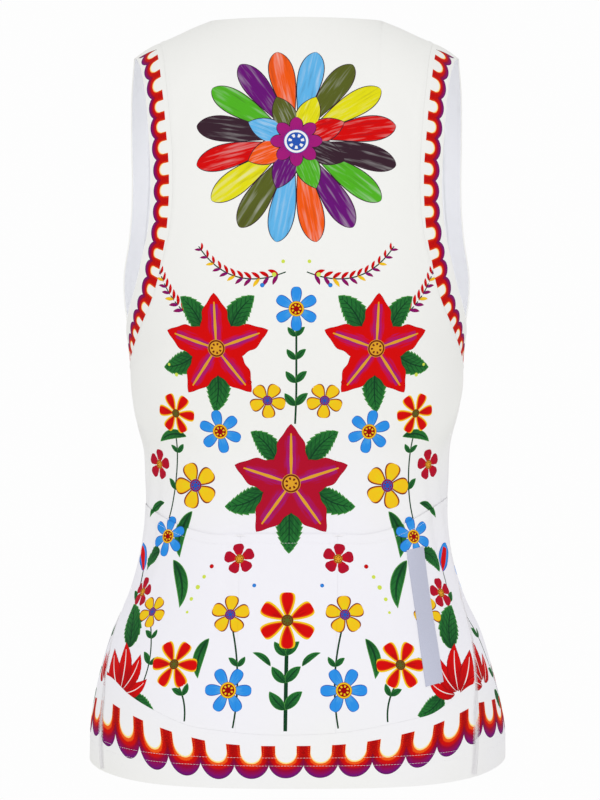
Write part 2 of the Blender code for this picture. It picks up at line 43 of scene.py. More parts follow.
# The cloth lies on one smooth surface. A point on it has a turn, the angle round the body from the centre
# back towards +X, and a run, roughly the way down the cloth from the shoulder line.
cut = {
    "gap": 0.06 * mm,
    "neckHalfWidth": 70 * mm,
    "backNeckDrop": 2 * mm,
    "frontNeckDrop": 76 * mm,
    "shoulderEnd": 130 * mm,
    "bandWidth": 22 * mm,
    "hemHeight": -595 * mm,
    "hemRiseAtSides": 11 * mm,
    "twistDegrees": 3.9,
    "twistTop": -290 * mm,
    "twistBottom": -400 * mm,
    "centerPocketWidth": 75.6 * mm,
    "mouthLift": 0.45 * mm,
    "mouthLiftReach": 22 * mm,
    "backPower": 2.35,
    "frontPower": 2.5,
    "ridgeEase": 30 * mm,
    "flatPower": 8,          # how level the back neck and the back hem run before they rise
    "passes": 6,
    "hipTurn": 65 * degree,
    "hemSeamGuess": -550 * mm,
    "mouthGuess": -390 * mm,
    "linePoints": 400,
    "endPoints": 10,
    "moves": 12,
}
halfGap = cut["gap"] / 2

# How many faces each stretch of a piece has across and down it.
faces = {
    "shoulder": 14,
    "sidePocket": 40,
    "centerPocket": 28,
    "frontNeck": 92,
    "hem": 16,
    "pocket": 54,
    "waist": 50,
    "armhole": 88,
    "band": 10,
    "tape": 6,
    "tapeLength": 36,
}

sections = (
    # height, halfWidth, back, front
    (-600, 166.0, 126.0, 100.0),
    (-580, 166.5, 125.5, 101.0),
    (-556, 165.5, 123.0, 102.0),
    (-532, 160.5, 118.5, 102.0),
    (-508, 154.0, 112.5, 101.0),
    (-484, 146.5, 105.0, 99.5),
    (-460, 135.0, 97.0, 97.5),
    (-436, 126.8, 89.5, 95.5),
    (-412, 121.8, 83.0, 94.0),
    (-388, 119.8, 78.5, 93.0),
    (-364, 120.6, 77.0, 94.5),
    (-340, 122.4, 79.0, 98.5),
    (-318, 129.5, 83.0, 104.5),
    (-300, 131.6, 87.5, 110.0),
    (-270, 133.0, 94.5, 118.5),
    (-234, 137.8, 101.5, 124.0),
    (-205, 141.0, 105.0, 122.5),
    (-170, 141.0, 106.5, 114.0),
    (-130, 140.3, 104.5, 102.0),
    (-90, 140.0, 99.0, 90.0),
    (-50, 139.5, 92.0, 79.0),
    (-10, 139.0, 86.5, 71.0),
    (30, 138.5, 82.0, 66.0),
)

shoulderLine = (
    # across, height
    (0, 21.0),
    (35, 13.0),
    (57, 5.0),
    (70, 0.0),
    (82, -4.8),
    (94, -10.4),
    (105, -15.2),
    (117, -20.4),
    (130, -29.2),
    (150, -48.0),
)

shoulderTurn = (
    # across, reach, power
    (0, 160, 0.40),
    (35, 118, 0.44),
    (70, 66, 0.50),
    (105, 52, 0.50),
    (150, 50, 0.50),
)

armholeEdge = (
    # turn, height
    (65.8, -48),
    (62.0, -76),
    (59.8, -101),
    (58.2, -124),
    (57.6, -148),
    (58.6, -170),
    (61.0, -188),
    (65.0, -209),
    (73.5, -231),
    (84.0, -248),
    (94.0, -255),
    (102.0, -246),
    (106.8, -222),
    (108.0, -185),
    (107.0, -130),
    (104.6, -90),
    (103.4, -58),
)

sideSeam = (
    # height, turn
    (-600, 62.0),
    (-540, 66.0),
    (-490, 73.0),
    (-440, 82.0),
    (-400, 87.0),
    (-340, 92.0),
    (-270, 93.0),
    (-200, 93.0),
)

hemSeam = (
    # turn, height
    (-80, -516),
    (-67, -519),
    (-58, -529),
    (-48, -539),
    (-36, -549),
    (-26, -552),
    (-12, -554.5),
    (3, -554.5),
    (18, -552.5),
    (28, -549),
    (38, -545),
    (46, -541),
    (54, -531),
    (60, -524),
    (75, -520),
)

pocketMouth = (
    # aside, height
    (0, -405),
    (36, -405),
    (60, -405.5),
    (78, -401.5),
    (95, -395),
    (108, -388),
    (124, -379),
)

# Soft folds and the finer creases between them: each is a trough where its depth is negative.
folds = (
    # turn, height, halfLength, halfWidth, depth, lean
    (-79, -352, 46, 8, -1.8, -24),
    (-70, -388, 40, 9, 1.6, -30),
    (76, -346, 44, 8, -1.8, 26),
    (66, -384, 42, 9, 1.5, 30),
    (-31, -412, 52, 8, -1.2, 4),
    (24, -402, 48, 9, -1.2, -3),
    (-102, -360, 44, 9, -1.8, 22),
    (104, -362, 46, 9, -1.8, -24),
    (-124, -318, 58, 12, 1.6, 30),
    (126, -322, 56, 12, 1.6, -30),
    (-160, -372, 52, 12, -1.4, 10),
    (158, -368, 54, 12, -1.4, -12),
    (79, -300, 34, 8, 1.4, 38),
    (-80, -306, 34, 8, 1.4, -38),
    (107, -212, 36, 21, 5.5, 0),
    (-107, -212, 36, 21, 5.5, 0),
    (-33, -440, 30, 3.5, -0.5, 2),
    (-22, -388, 34, 4.0, 0.5, -3),
    (21, -378, 44, 4.0, -0.6, 2),
    (34, -470, 26, 7.0, -0.7, 16),
    (42, -512, 24, 6.0, 0.7, -14),
    (-40, -500, 30, 6.5, 0.6, 10),
    (16, -566, 16, 4.0, -0.5, 38),
    (-14, -572, 18, 5.0, 0.5, -30),
    (-52, -322, 30, 6.0, 0.6, -42),
    (50, -318, 32, 6.0, 0.6, 44),
    (-12, -338, 30, 9.0, -0.6, 12),
    (10, -346, 34, 9.0, -0.5, -10),
    (-48, -96, 40, 9.0, -0.6, 14),
    (46, -88, 38, 9.0, -0.6, -14),
    (-138, -250, 46, 7.0, -0.8, 42),
    (140, -256, 46, 7.0, -0.8, -42),
    (-172, -322, 40, 8.0, 0.7, 14),
    (170, -330, 38, 8.0, 0.7, -16),
    (-146, -470, 46, 7.0, -0.7, -8),
    (148, -478, 44, 7.0, -0.7, 8),
    (178, -520, 40, 8.0, 0.6, 4),
    (-118, -420, 36, 6.0, 0.7, 18),
    (120, -426, 34, 6.0, 0.7, -18),
    (-90, -572, 34, 32, -2.8, 0),
    (-90, -306, 20, 24, -2.4, 0),
    (90, -322, 15, 24, -2.4, 0),
    (-77, -402, 58, 3.2, 2.2, 7),
    (-71, -410, 54, 3.4, -2.1, 5),
    (-64, -446, 40, 4.0, 1.2, 4),
    (74, -398, 52, 3.2, 1.8, -7),
    (68, -408, 50, 3.4, -1.7, -5),
)


def smoothCurve(keys, values):
    # a smooth function through points whose keys rise; outside them it keeps the end values
    spans = np.diff(keys)
    rises = np.diff(values) / spans
    inner = (rises[:-1] * spans[1:] + rises[1:] * spans[:-1]) / (spans[1:] + spans[:-1])
    slopes = np.concatenate([rises[:1], inner, rises[-1:]])

    def valueAt(key):
        key = np.clip(key, keys[0], keys[-1])
        i = np.clip(np.searchsorted(keys, key, side="right") - 1, 0, len(keys) - 2)
        t = (key - keys[i]) / spans[i]
        ends = (1 + 2 * t) * (1 - t) ** 2 * values[i] + t * t * (3 - 2 * t) * values[i + 1]
        leans = t * (1 - t) ** 2 * slopes[i] + t * t * (t - 1) * slopes[i + 1]
        return ends + leans * spans[i]

    return valueAt


def tableCurve(rows, column=1, unit=mm, keyUnit=mm):
    table = np.array(rows, float)
    return smoothCurve(table[:, 0] * keyUnit, table[:, column] * unit)


halfWidthAt, backDepthAt, frontDepthAt = (tableCurve(sections, column) for column in (1, 2, 3))
shoulderLineAt = tableCurve(shoulderLine)
shoulderReachAt = tableCurve(shoulderTurn)
shoulderPowerAt = tableCurve(shoulderTurn, 2, 1)
seamTurnAt = tableCurve(sideSeam, 1, degree)
mouthHeightAt = tableCurve(pocketMouth)
hemSeamHeightAt = tableCurve(hemSeam, keyUnit=degree)


def together(*parts):
    return np.stack(np.broadcast_arrays(*parts), axis=-1)


def unitOf(vectors):
    return vectors / np.linalg.norm(vectors, axis=-1, keepdims=True)


def marksAlong(points):
    # how far along its line each point lies
    return np.concatenate([[0], np.cumsum(np.linalg.norm(np.diff(points, axis=0), axis=1))])


def settled(height, heightFrom):
    # a height that depends on itself, found in a few passes
    for _ in range(cut["passes"]):
        height = heightFrom(height)
    return height


def foldRelief(turn, height):
    relief, reach = 0.0, halfWidthAt(height)
    for foldTurn, foldHeight, halfLength, halfWidth, depth, lean in folds:
        away = (turn - foldTurn * degree + np.pi) % (2 * np.pi) - np.pi
        aside, above = away * reach, height - foldHeight * mm
        sine, cosine = math.sin(lean * degree), math.cos(lean * degree)
        along = (above * cosine + aside * sine) / (halfLength * mm)
        across = (aside * cosine - above * sine) / (halfWidth * mm)
        relief = relief + depth * mm * np.exp(-(along**2 + across**2))
    return relief


def bodySection(turn, height):
    isFront = np.cos(turn) < 0
    power = np.where(isFront, cut["frontPower"], cut["backPower"])
    depth = np.where(isFront, frontDepthAt(height), backDepthAt(height))
    sideways = np.abs(np.sin(turn)) / halfWidthAt(height)
    onwards = np.abs(np.cos(turn)) / depth
    radius = (sideways**power + onwards**power) ** (-1 / power) + foldRelief(turn, height)
    return radius * np.sin(turn), -radius * np.cos(turn)


def surfaceAt(turn, run):
    drop = run * run / (run + cut["ridgeEase"])
    height = settled(-drop, lambda guess: shoulderLineAt(np.abs(bodySection(turn, guess)[0])) - drop)
    across, ahead = bodySection(turn, height)
    share = np.clip(1 - drop / shoulderReachAt(np.abs(across)), 0, 1)
    ahead = ahead * (1 - share**2) ** shoulderPowerAt(np.abs(across))
    return together(across, ahead, height)


def netAt(turn, height):
    across, _ = bodySection(turn, height)
    drop = np.maximum(shoulderLineAt(np.abs(across)) - height, 0)
    return together(turn, (drop + np.sqrt(drop * drop + 4 * drop * cut["ridgeEase"])) / 2)


def turnAt(across, height, isFront=False):
    power = cut["frontPower"] if isFront else cut["backPower"]
    depth = frontDepthAt(height) if isFront else -backDepthAt(height)
    share = np.clip(np.abs(across) / halfWidthAt(height), 0, 1)
    return np.arctan2(across, -depth * (1 - share**power) ** (1 / power))


def pointsOn(net):
    return surfaceAt(net[..., 0], net[..., 1])


def surfaceSlopes(net):
    step = 1e-4
    turn, run = net[..., 0], net[..., 1]
    byTurn = (surfaceAt(turn + step, run) - surfaceAt(turn - step, run)) / (2 * step)
    lowRun = np.maximum(run - step, 0)
    byRun = (surfaceAt(turn, run + step) - surfaceAt(turn, lowRun)) / (run + step - lowRun)[..., None]
    return byTurn, byRun


def outwardOn(net):
    byTurn, byRun = surfaceSlopes(net)
    return unitOf(np.cross(byRun, byTurn))


def straightenEnd(path):
    # runs the start of a path straight on to the shoulder line
    end = cut["endPoints"]
    near, far = path[end], path[2 * end]
    startTurn = near[0] - (far[0] - near[0]) / (far[1] - near[1]) * near[1]
    path[: end + 1] = np.linspace((startTurn, 0), near, end + 1)


def movedAside(path, distance, holdEnds=True):
    # a path moved sideways along the cloth, to the side away from the armhole
    path = path.copy()
    for _ in range(cut["moves"]):
        byTurn, byRun = surfaceSlopes(path)
        aheadTurn, aheadRun = np.gradient(path, axis=0).T
        cross = np.sum(byTurn * byRun, axis=1)
        asideTurn = -(cross * aheadTurn + np.sum(byRun * byRun, axis=1) * aheadRun)
        asideRun = np.sum(byTurn * byTurn, axis=1) * aheadTurn + cross * aheadRun
        size = np.linalg.norm(byTurn * asideTurn[:, None] + byRun * asideRun[:, None], axis=1)
        path += (np.stack([asideTurn, asideRun]) / size * distance / cut["moves"]).T
        if holdEnds:
            straightenEnd(path)
            straightenEnd(path[::-1])
    return path


def armholePath():
    endHeight = shoulderLineAt(cut["shoulderEnd"])
    ends = [[turnAt(cut["shoulderEnd"], endHeight, isFront), 0] for isFront in (False, True)]
    turns, heights = np.array(armholeEdge).T
    net = np.concatenate([ends[:1], netAt(turns * degree, heights * mm), ends[1:]])
    marks = marksAlong(pointsOn(net))
    fine = np.linspace(0, marks[-1], cut["linePoints"])
    turns, runs = (smoothCurve(marks, net[:, i])(fine) for i in (0, 1))
    return together(turns, np.maximum(runs, 0))


def armholeLines():
    # the armhole's edge, the band's inner edge and the panels' edge, with the middle point on the side seam
    edge = armholePath()
    bandSide, panelSide = (movedAside(edge, cut["bandWidth"] + shift) for shift in (-halfGap, halfGap))
    points = pointsOn(panelSide)
    pastSeam = panelSide[:, 0] - seamTurnAt(points[:, 2])
    i = np.argmax(pastSeam > 0)
    own = np.linspace(0, 1, len(edge))
    crossing = (i - pastSeam[i] / (pastSeam[i] - pastSeam[i - 1])) / (len(edge) - 1)
    marks = marksAlong(points)
    start, middle, end = np.interp((0, crossing, 1), own, marks)
    halves = [np.linspace(*ends, faces["armhole"] + 1) for ends in ((start, middle), (middle, end))]
    places = np.interp(np.concatenate([halves[0], halves[1][1:]]), marks, own)
    lines = []
    for path in (edge, bandSide, panelSide):
        line = together(*(np.interp(places, own, path[:, i]) for i in (0, 1)))
        line[0, 1] = line[-1, 1] = seamRun(line[0, 0])
        lines.append(line)
    return lines


def seamRun(turn):
    step = 0.5 * mm
    return halfGap * step / np.abs(surfaceAt(turn, np.array(step))[..., 1])


def mirrored(path):
    return path * (-1, 1)


def aroundFront(path):
    return mirrored(path) + (2 * np.pi, 0)


def twistAt(height):
    share = np.clip((cut["twistTop"] - height) / (cut["twistTop"] - cut["twistBottom"]), 0, 1)
    return cut["twistDegrees"] * degree * share * share * (3 - 2 * share)


def centerBackAt(height):
    return -backDepthAt(height) * np.tan(twistAt(height))


def sideSeamTurn(height, side):
    return side * seamTurnAt(height) - twistAt(height)


def sideSeamPath(side, low, high, rows, inset=0.0):
    heights = np.linspace(low, high, rows + 1)
    return netAt(sideSeamTurn(heights, side) - side * inset / halfWidthAt(heights), heights)


def sideFootHeight(side):
    return settled(cut["hemSeamGuess"], lambda height: hemSeamHeightAt(sideSeamTurn(height, side)))


def mouthHeight(turnFrom):
    # the pocket mouths' height at the turn that a height gives
    def heightFrom(height):
        across, _ = bodySection(turnFrom(height), height)
        return mouthHeightAt(np.abs(across - centerBackAt(height)))

    return settled(cut["mouthGuess"], heightFrom)


def mouthHeightAtSeam(side):
    return mouthHeight(lambda height: sideSeamTurn(height, side))


def hemHeightAt(turn):
    rise = np.where(np.cos(turn) > 0, np.abs(np.sin(turn)) ** cut["flatPower"], 1)
    return cut["hemHeight"] + cut["hemRiseAtSides"] * rise


def hemCornerHeight(side):
    return hemHeightAt(sideSeamTurn(hemHeightAt(cut["hipTurn"]), side))


def patch(left, right, bottom, top):
    # the net between four edges, with rows from the bottom up and columns from the left
    bottom, top = bottom.copy(), top.copy()
    bottom[0], bottom[-1], top[0], top[-1] = left[0], right[0], left[-1], right[-1]
    rises = [(side[0, 1] - side[:, 1]) / (side[0, 1] - side[-1, 1]) for side in (left, right)]
    up = (sum(rises) / 2)[:, None, None]
    over = np.linspace(0, 1, len(bottom))[None, :, None]
    betweenSides = left[:, None] * (1 - over) + right[:, None] * over
    betweenEnds = bottom[None] * (1 - up) + top[None] * up
    low = bottom[0] * (1 - over) + bottom[-1] * over
    high = top[0] * (1 - over) + top[-1] * over
    return betweenSides + betweenEnds - (low * (1 - up) + high * up)


def neckLine(isFront, cornerTurns, count):
    if isFront:
        swing = np.linspace(-np.pi / 2, np.pi / 2, count)
        across = -cut["neckHalfWidth"] * np.sin(swing)
        height = -cut["frontNeckDrop"] * np.cos(swing)
        turns = turnAt(across, height, True) % (2 * np.pi)
    else:
        share = np.linspace(-1, 1, count)
        height = -cut["backNeckDrop"] * (1 - share ** cut["flatPower"])
        turns = turnAt(cut["neckHalfWidth"] * share, height)
    turns[0], turns[-1] = cornerTurns
    line = netAt(turns, height)
    line[[0, -1], 1] = seamRun(turns[[0, -1]])
    return line


def topEdge(isFront, neckColumns):
    bandTurn = panelSide[-1 if isFront else 0, 0]
    bandAcross = surfaceAt(bandTurn, np.array(0.0))[0]
    across = np.linspace(bandAcross, cut["neckHalfWidth"], faces["shoulder"] + 1)
    turns = turnAt(across, shoulderLineAt(across), isFront)
    turns[0] = bandTurn
    seam = together(turns, seamRun(turns))
    first, last = (seam, aroundFront(seam)) if isFront else (mirrored(seam), seam)
    neck = neckLine(isFront, (first[-1, 0], last[-1, 0]), neckColumns + 1)
    return np.concatenate([first, neck[1:-1], last[::-1]])


def dividerPath(side):
    shift = side * cut["centerPocketWidth"] / 2

    def turnFrom(height):
        return turnAt(centerBackAt(height) + shift, height)

    foot = settled(cut["hemSeamGuess"], lambda height: hemSeamHeightAt(turnFrom(height)) + halfGap)
    heights = np.linspace(foot, mouthHeightAt(abs(shift)), faces["pocket"] + 1)
    return netAt(turnFrom(heights), heights)


def sideEdges(lowAt, highAt, rows):
    return [sideSeamPath(side, lowAt(side), highAt(side), rows, halfGap) for side in (-1, 1)]


def pocketNets():
    leftEdge, rightEdge = sideEdges(
        lambda side: sideFootHeight(side) + halfGap, mouthHeightAtSeam, faces["pocket"])
    borders = (leftEdge, dividerPath(-1), dividerPath(1), rightEdge)
    counts = (faces["sidePocket"], faces["centerPocket"], faces["sidePocket"])
    nets = []
    for left, right, columns in zip(borders, borders[1:], counts):
        low, high = (np.linspace(left[end, 0], right[end, 0], columns + 1) for end in (0, -1))
        bottom = netAt(low, hemSeamHeightAt(low) + halfGap)
        nets.append(patch(left, right, bottom, netAt(high, mouthHeight(lambda height: high))))
    return nets


def panelNet(lowEdges, highEdges, bottom, top):
    # a panel's net below and above the underarm, between its side edges
    for low, high in zip(lowEdges, highEdges):
        high[0, 0] = low[-1, 0]
        low[-1] = high[0]
    chest = np.linspace(highEdges[0][0], highEdges[1][0], len(top))
    return np.concatenate([patch(*lowEdges, bottom, chest), patch(*highEdges, chest, top)[1:]])


def backNet():
    foot = np.concatenate([pockets[0], pockets[1][:, 1:], pockets[2][:, 1:]], axis=1)
    armhole = panelSide[: faces["armhole"] + 1][::-1]
    lowEdges = sideEdges(mouthHeightAtSeam, lambda side: underarmHeight, faces["waist"])
    top = topEdge(False, len(foot[0]) - 1 - 2 * faces["shoulder"])
    upper = panelNet(lowEdges, [mirrored(armhole), armhole.copy()], foot[-1], top)
    return np.concatenate([foot, upper[1:]])


def frontNet():
    lowEdges = []
    for side in (1, -1):
        ends = (hemCornerHeight(side), sideFootHeight(side), mouthHeightAtSeam(side), underarmHeight)
        rows = (faces["hem"], faces["pocket"], faces["waist"])
        parts = [sideSeamPath(side, *row, -halfGap) for row in zip(ends, ends[1:], rows)]
        lowEdges.append(np.concatenate([parts[0][:-1], parts[1][:-1], parts[2]]))
    lowEdges[1] += (2 * np.pi, 0)
    armhole = panelSide[faces["armhole"] :]
    top = topEdge(True, faces["frontNeck"])
    turns = np.linspace(lowEdges[0][0, 0], lowEdges[1][0, 0], len(top))
    bottom = netAt(turns, hemHeightAt(turns))
    return panelNet(lowEdges, [armhole.copy(), aroundFront(armhole)], bottom, top)


def hemBandNet():
    turns = back[0, :, 0]
    edges = sideEdges(hemCornerHeight, lambda side: sideFootHeight(side) - halfGap, faces["hem"])
    lowTurns = np.interp(turns, (turns[0], turns[-1]), (edges[0][0, 0], edges[1][0, 0]))
    top = netAt(turns, hemSeamHeightAt(turns) - halfGap)
    return patch(*edges, netAt(lowTurns, hemHeightAt(lowTurns)), top)


def insetSides(net, distance):
    net = net.copy()
    for column, way in ((0, 1), (-1, -1)):
        byTurn, _ = surfaceSlopes(net[:, column])
        net[:, column, 0] += way * distance / np.linalg.norm(byTurn, axis=1)
    return net


def mouthLift(net):
    # how far a pocket stands off the back panel: most at its mouth, and held down at its sides
    heights = pointsOn(net)[..., 2]
    below = (heights[-1:] - heights) / cut["mouthLiftReach"]
    sides = np.sin(np.linspace(0, np.pi, net.shape[1])) ** 0.5
    return cut["mouthLift"] * np.exp(-(below**2)) * sides


edge, bandSide, panelSide = armholeLines()
underarmHeight = pointsOn(panelSide[faces["armhole"]])[2]
pockets = pocketNets()
back = backNet()
front = frontNet()
hemBand = hemBandNet()
band = np.linspace(edge, bandSide, faces["band"] + 1)
print("sleeveless top: the body's form is ready")


# Materials: sums on sockets are written as in Python.
def sumOf(operation, turned=False):
    def wired(first, second):
        pair = (second, first) if turned else (first, second)
        return first.looks.math(operation, *pair)

    return wired


class Wire:
    def __init__(self, looks, socket):
        self.looks = looks
        self.socket = socket

    def other(self, name):
        return Wire(self.looks, self.socket.node.outputs[name])

    __add__ = __radd__ = sumOf("ADD")
    __sub__, __rsub__ = sumOf("SUBTRACT"), sumOf("SUBTRACT", True)
    __mul__ = __rmul__ = sumOf("MULTIPLY")
    __truediv__, __rtruediv__ = sumOf("DIVIDE"), sumOf("DIVIDE", True)
    __pow__ = sumOf("POWER")
    __gt__ = sumOf("GREATER_THAN")
    __lt__ = sumOf("LESS_THAN")


class Looks:
    def __init__(self, tree):
        self.tree = tree

    def feed(self, socket, value):
        if isinstance(value, Wire):
            self.tree.links.new(value.socket, socket)
        else:
            socket.default_value = value

    def node(self, kind, sockets=None, settings=None, output=0):
        made = self.tree.nodes.new(kind)
        for key, value in (settings or {}).items():
            setattr(made, key, value)
        for key, value in (sockets or {}).items():
            self.feed(made.inputs[key], value)
        return Wire(self, made.outputs[output])

    def math(self, operation, *values):
        return self.node("ShaderNodeMath", dict(enumerate(values)), {"operation": operation})

    def clamp(self, value):
        return self.node("ShaderNodeClamp", {0: value})

    def mix(self, share, low, high):
        settings = {"data_type": "RGBA", "clamp_factor": True}
        return self.node("ShaderNodeMix", {0: share, 6: low, 7: high}, settings, 2)

    def ramp(self, share, stops, interpolation="LINEAR"):
        wire = self.node("ShaderNodeValToRGB", {0: share})
        ramp = wire.socket.node.color_ramp
        ramp.interpolation = interpolation
        while len(ramp.elements) < len(stops):
            ramp.elements.new(1.0)
        for element, (place, color) in zip(ramp.elements, stops):
            element.position = place
            element.color = (*color[:3], 1)
        return wire

    def parts(self, vector):
        x = self.node("ShaderNodeSeparateXYZ", {0: vector})
        return x, x.other("Y"), x.other("Z")

    def joined(self, x, y, z):
        return self.node("ShaderNodeCombineXYZ", {0: x, 1: y, 2: z})

    def value(self, name):
        return self.node("ShaderNodeAttribute", {}, {"attribute_name": name}, "Vector")

    def place(self):
        return self.node("ShaderNodeTexCoord", output="Object")

    def noise(self, vector, scale, detail=2.0):
        return self.node("ShaderNodeTexNoise", {"Vector": vector, "Scale": scale, "Detail": detail})


class Coat(Looks):
    # the looks of one material
    def __init__(self, name, roughness, sheen=0.0):
        self.material = bpy.data.materials.new(name)
        self.material.use_nodes = True
        super().__init__(self.material.node_tree)
        self.inputs = self.tree.nodes["Principled BSDF"].inputs
        settings = {"Roughness": roughness, "Sheen Weight": sheen, "Sheen Roughness": 0.4,
                    "Specular IOR Level": 0.1}
        for key, value in settings.items():
            self.inputs[key].default_value = value

    def paint(self, color):
        self.feed(self.inputs["Base Color"], color)

    def bump(self, height, strength, distance):
        sockets = {"Height": height, "Strength": strength, "Distance": distance}
        self.feed(self.inputs["Normal"], self.node("ShaderNodeBump", sockets))


def srgb(*parts):
    # a colour as a paint chart gives it, from 0 to 255
    return (*(((part / 255 + 0.055) / 1.055) ** 2.4 if part > 10 else part / 3294.6 for part in parts), 1)


ink = {name: srgb(*parts) for name, parts in {
    "white": (240, 240, 238),
    "red": (212, 4, 4),
    "deepRed": (152, 0, 10),
    "borderRed": (206, 10, 4),
    "darkRed": (128, 2, 4),
    "crimson": (176, 12, 42),
    "wine": (150, 0, 52),
    "orange": (238, 88, 16),
    "yellow": (240, 196, 26),
    "paleYellow": (250, 226, 140),
    "ochre": (222, 160, 40),
    "brown": (112, 40, 16),
    "blue": (44, 142, 228),
    "deepBlue": (40, 84, 176),
    "magenta": (160, 26, 118),
    "purple": (104, 18, 116),
    "berry": (140, 8, 88),
    "plum": (84, 8, 70),
    "olive": (88, 96, 34),
    "lemon": (224, 218, 20),
    "sky": (96, 178, 230),
    "brightGreen": (80, 176, 34),
    "green": (36, 110, 48),
    "deepGreen": (16, 62, 34),
    "leafLight": (78, 150, 66),
    "lime": (206, 222, 80),
    "black": (56, 34, 46),
}.items()}

# Each kind of printed form: how many petals it has, their half width, where they swell and how blunt the tip
# is, the heart's radius, and the colours of its parts.
numberColumns = ("petals", "width", "swell", "tip", "heart", "rib", "serration", "veins", "outline")
inkColumns = ("fill", "shade", "edge", "ribInk", "heartInk", "ringInk")
star = (5, 0.29, 0.70, 0.92, 0.16, 0.09, 0.14, 1, 0.010)
seed = (1, 0.17, 0.8, 0.90, 0, 0, 0, 0, 0.020)
dot = (6, 0.01, 1, 1, 0.95, 0, 0, 0, 0)
leafInks = "green deepGreen leafLight deepGreen green green"
kinds = {
    "blueDaisy": (6, 0.25, 1.0, 0.40, 0.35, 0, 0, 0, 0.045, "blue sky deepBlue blue deepRed yellow"),
    "yellowFlower": (5, 0.37, 1.1, 0.40, 0.28, 0, 0, 0, 0.075, "yellow lemon brown yellow deepBlue deepRed"),
    "orangeFlower": (6, 0.28, 0.95, 0.24, 0.21, 0, 0, 0, 0.085, "red deepRed yellow orange olive brown"),
    "redFlower": (5, 0.38, 1.2, 0.40, 0.30, 0, 0.06, 0, 0.020, "crimson red deepRed red ochre brown"),
    "redStar": (*star, "red magenta deepRed ochre ochre brown"),
    "magentaStar": (*star, "crimson magenta deepRed ochre ochre brown"),
    "rosetteOuter": (16, 0.13, 1.7, 0.62, 0.10, 0, 0, 0, 0.012, "red deepRed black lemon red yellow"),
    "rosetteMiddle": (8, 0.24, 1.1, 0.90, 0.30, 0, 0, 0, 0.024, "red deepRed black lemon blue lemon"),
    "rosetteHeart": (8, 0.27, 1.1, 0.60, 0.48, 0, 0, 0, 0.040, "magenta purple black magenta deepBlue white"),
    "slenderLeaf": (1, 0.135, 0.8, 0.95, 0, 0.14, 0, 0.5, 0.024, leafInks),
    "broadLeaf": (1, 0.28, 0.62, 0.85, 0, 0.06, 0.14, 1, 0.030, leafInks),
    "smallLeaf": (1, 0.23, 0.75, 0.90, 0, 0.12, 0, 0.8, 0.030, leafInks),
    "stem": (1, 0.03, 0.02, 0.02, 0, 0, 0, 0, 0, "deepGreen deepGreen deepGreen green green green"),
    "redSeed": (*seed, "red deepRed deepRed red red red"),
    "purpleSeed": (*seed, "berry purple purple purple red red"),
    "ochreSeed": (*seed, "yellow ochre ochre ochre red red"),
    "blueBud": (1, 0.24, 0.7, 0.60, 0, 0.5, 0, 0, 0.030, "blue deepBlue deepBlue red red red"),
    "redPetal": (1, 0.22, 0.8, 1.10, 0, 0.06, 0.05, 0, 0.020, "red deepRed deepRed white red red"),
    "limeDot": (*dot, "lime lime lime lime lime lime"),
    "berry": (*dot, "red red red red red deepRed"),
    "blueDot": (*dot, "blue blue blue blue blue deepBlue"),
}
rosetteInks = ("red", "lemon", "olive", "sky", "orange", "purple", "brightGreen", "black")
kindRoom = 32          # the stops that a ramp can hold
numberSpan = 16        # a kind's numbers are divided by it, to fit in a ramp's colours
layerCount = 4         # how many printed forms may lie over one another


def kindColumn(kind, column):
    *numbers, inks = kinds[kind]
    if column in inkColumns:
        return ink[inks.split()[inkColumns.index(column)]]
    value = numbers[numberColumns.index(column)]
    if column == "width":     # the widest place of a petal is where its two powers balance
        swell, tip = numbers[2:4]
        place = swell / (swell + tip)
        value /= place**swell * (1 - place) ** tip
    return value


def kindRamp(looks, kind, valueOf):
    stops = [(i / kindRoom, valueOf(name)) for i, name in enumerate(kinds)]
    return looks.ramp(kind, stops, "CONSTANT")


def kindNumbers(looks, kind, *columns):
    color = kindRamp(looks, kind, lambda name: [kindColumn(name, column) / numberSpan for column in columns])
    return [wire * numberSpan for wire in looks.parts(color)]


def kindInk(looks, kind, column):
    return kindRamp(looks, kind, lambda name: kindColumn(name, column))


